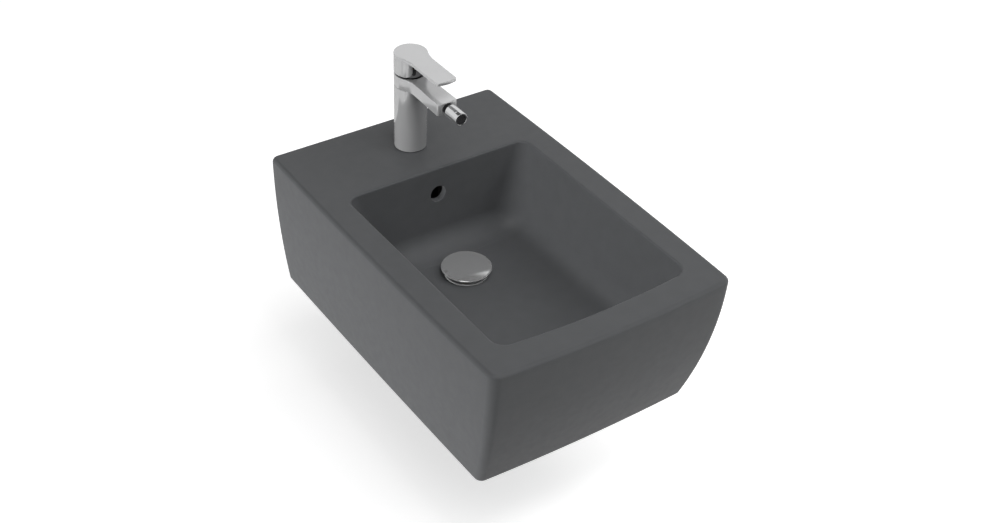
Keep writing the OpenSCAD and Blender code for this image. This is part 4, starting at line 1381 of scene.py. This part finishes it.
@dataclass
class Studio:
    """Pale floor, soft light and the camera at the photograph's angle; the floor's lengths are in metres."""

    floor_size: float = 30.0
    floor_z: float = -0.325
    floor_grey: float = 0.75
    floor_glow: float = 0.65
    floor_glow_less: float = 0.45
    floor_near: float = 1.2
    floor_far: float = 3.5
    sky: float = 0.12
    ceiling: float = 0.05
    ceiling_from: float = 41.0
    ceiling_full: float = 44.0
    camera_mm: tuple[float, float, float] = (-984.5, -1668.6, 1197.8)
    right: tuple[float, float, float] = (0.8293, -0.5579, 0.0321)
    down: tuple[float, float, float] = (-0.3174, -0.5176, -0.7946)
    ahead: tuple[float, float, float] = (0.4599, 0.6487, -0.6063)
    focal_px: float = 1563.8
    centre_px: tuple[float, float] = (490.9, 276.76)
    sensor_mm: float = 36.0
    sight: float = 50.0

    def camera(self) -> None:
        """Sets the camera from the position, axes, focal length and principal point that fit the photograph.

        The axes are rounded numbers, so the nearest true rotation is taken.
        """
        data = bpy.data.cameras.new("camera")
        data.sensor_width = self.sensor_mm
        data.lens = self.focal_px * self.sensor_mm / IMAGE_WIDTH
        data.shift_x = (IMAGE_WIDTH / 2 - self.centre_px[0]) / IMAGE_WIDTH
        data.shift_y = (self.centre_px[1] - IMAGE_HEIGHT / 2) / IMAGE_WIDTH
        data.clip_end = self.sight
        obj = bpy.data.objects.new("camera", data)
        bpy.context.scene.collection.objects.link(obj)
        axes = np.array([self.right, -np.array(self.down), -np.array(self.ahead)])
        u, _, v = np.linalg.svd(axes)
        place = np.eye(4)
        place[:3, :3] = (u @ v).T
        place[:3, 3] = (np.array(self.camera_mm) + [0, 0, RIM_HEIGHT]) * MM
        obj.matrix_world = Matrix(place.tolist())
        bpy.context.scene.camera = obj

    def floor(self) -> None:
        """Makes a wide pale floor, which camera, mirror and glass rays see white, with the object's shadow.

        Its glow rises with the distance, so that the far floor, where the lamps don't reach, is white too.
        Mirrors see less of the glow, so that the lit floor is no more than white in them. From below it is
        clear, so that the underside can be looked at.
        """
        bpy.ops.mesh.primitive_plane_add(size=self.floor_size, location=(0, 0, self.floor_z))
        obj = bpy.context.object
        obj.name = "floor"
        made = bpy.data.materials.new("floor_white")
        made.use_nodes = True
        tree = made.node_tree
        tree.nodes.clear()
        matt = node(tree, "BsdfDiffuse")
        matt.inputs["Color"].default_value = (self.floor_grey,) * 3 + (1.0,)
        reach = node(tree, "VectorMath", node(tree, "TexCoord").outputs["Object"])
        reach.operation = "LENGTH"
        rise = node(tree, "MapRange", reach.outputs["Value"])
        rise.inputs["From Min"].default_value = self.floor_near
        rise.inputs["From Max"].default_value = self.floor_far
        rise.inputs["To Min"].default_value = self.floor_glow
        less = node(tree, "Math", node(tree, "LightPath").outputs["Is Glossy Ray"])
        less.operation = "MULTIPLY_ADD"
        less.inputs[1].default_value = -self.floor_glow_less
        tree.links.new(rise.outputs[0], less.inputs[2])
        glow = node(tree, "Emission")
        tree.links.new(less.outputs[0], glow.inputs["Strength"])
        both = node(tree, "AddShader", matt.outputs[0], glow.outputs[0])
        seen = self._seen(tree, matt.outputs[0], both.outputs[0])
        behind = node(tree, "NewGeometry").outputs["Backfacing"]
        sided = node(tree, "MixShader", behind, seen, node(tree, "BsdfTransparent").outputs[0])
        node(tree, "OutputMaterial", sided.outputs[0])
        obj.data.materials.append(made)

    @staticmethod
    def _seen(tree: Tree, plain: Socket, white: Socket) -> Socket:
        """Mixes two shaders: camera, mirror and glass rays see the white one, other light the plain one.

        Args:
            tree: the nodes of the floor or of the world.
            plain: the shader that lights the object.
            white: the shader that is seen.

        Returns:
            The mixed shader.
        """
        light = node(tree, "LightPath")
        flag = light.outputs["Is Camera Ray"]
        for name in ("Is Glossy Ray", "Is Transmission Ray"):
            more = node(tree, "Math", flag, light.outputs[name])
            more.operation = "MAXIMUM"
            flag = more.outputs[0]
        return node(tree, "MixShader", flag, plain, white).outputs[0]

    def world(self) -> None:
        """Makes a soft grey sky for light; seen rays see it white, and mirrors a dark ceiling in it."""
        world = bpy.data.worlds.new("studio")
        world.use_nodes = True
        tree = world.node_tree
        plain = tree.nodes["Background"]
        plain.inputs["Color"].default_value = (1, 1, 1, 1)
        plain.inputs["Strength"].default_value = self.sky
        white = node(tree, "Background")
        white.inputs["Color"].default_value = (1, 1, 1, 1)
        dark = node(tree, "Background")
        dark.inputs["Strength"].default_value = self.ceiling
        split = node(tree, "SeparateXYZ", node(tree, "TexCoord").outputs["Generated"])
        high = node(tree, "MapRange", split.outputs["Z"])
        high.inputs["From Min"].default_value = math.sin(math.radians(self.ceiling_from))
        high.inputs["From Max"].default_value = math.sin(math.radians(self.ceiling_full))
        mirror = node(tree, "Math", high.outputs[0], node(tree, "LightPath").outputs["Is Glossy Ray"])
        mirror.operation = "MULTIPLY"
        top = node(tree, "MixShader", mirror.outputs[0], white.outputs[0], dark.outputs[0])
        seen = self._seen(tree, plain.outputs[0], top.outputs[0])
        tree.links.new(seen, tree.nodes["World Output"].inputs[0])
        bpy.context.scene.world = world

    def build(self) -> None:
        """Builds the stage."""
        self.camera()
        self.floor()
        self.world()
        for lamp in LAMPS:
            lamp.build()
        bpy.context.scene.view_settings.view_transform = "Standard"


def main() -> None:
    """Builds the pieces in order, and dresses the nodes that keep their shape."""
    logging.basicConfig(level=logging.INFO, format="%(name)s %(message)s")
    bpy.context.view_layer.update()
    Studio().build()
    paint = Paint()
    for part in (Ceramic, Tap, Nozzle, Waste):
        part(paint).build()
    paint.nodes()
    bpy.context.view_layer.update()


if __name__ == "__main__":
    main()
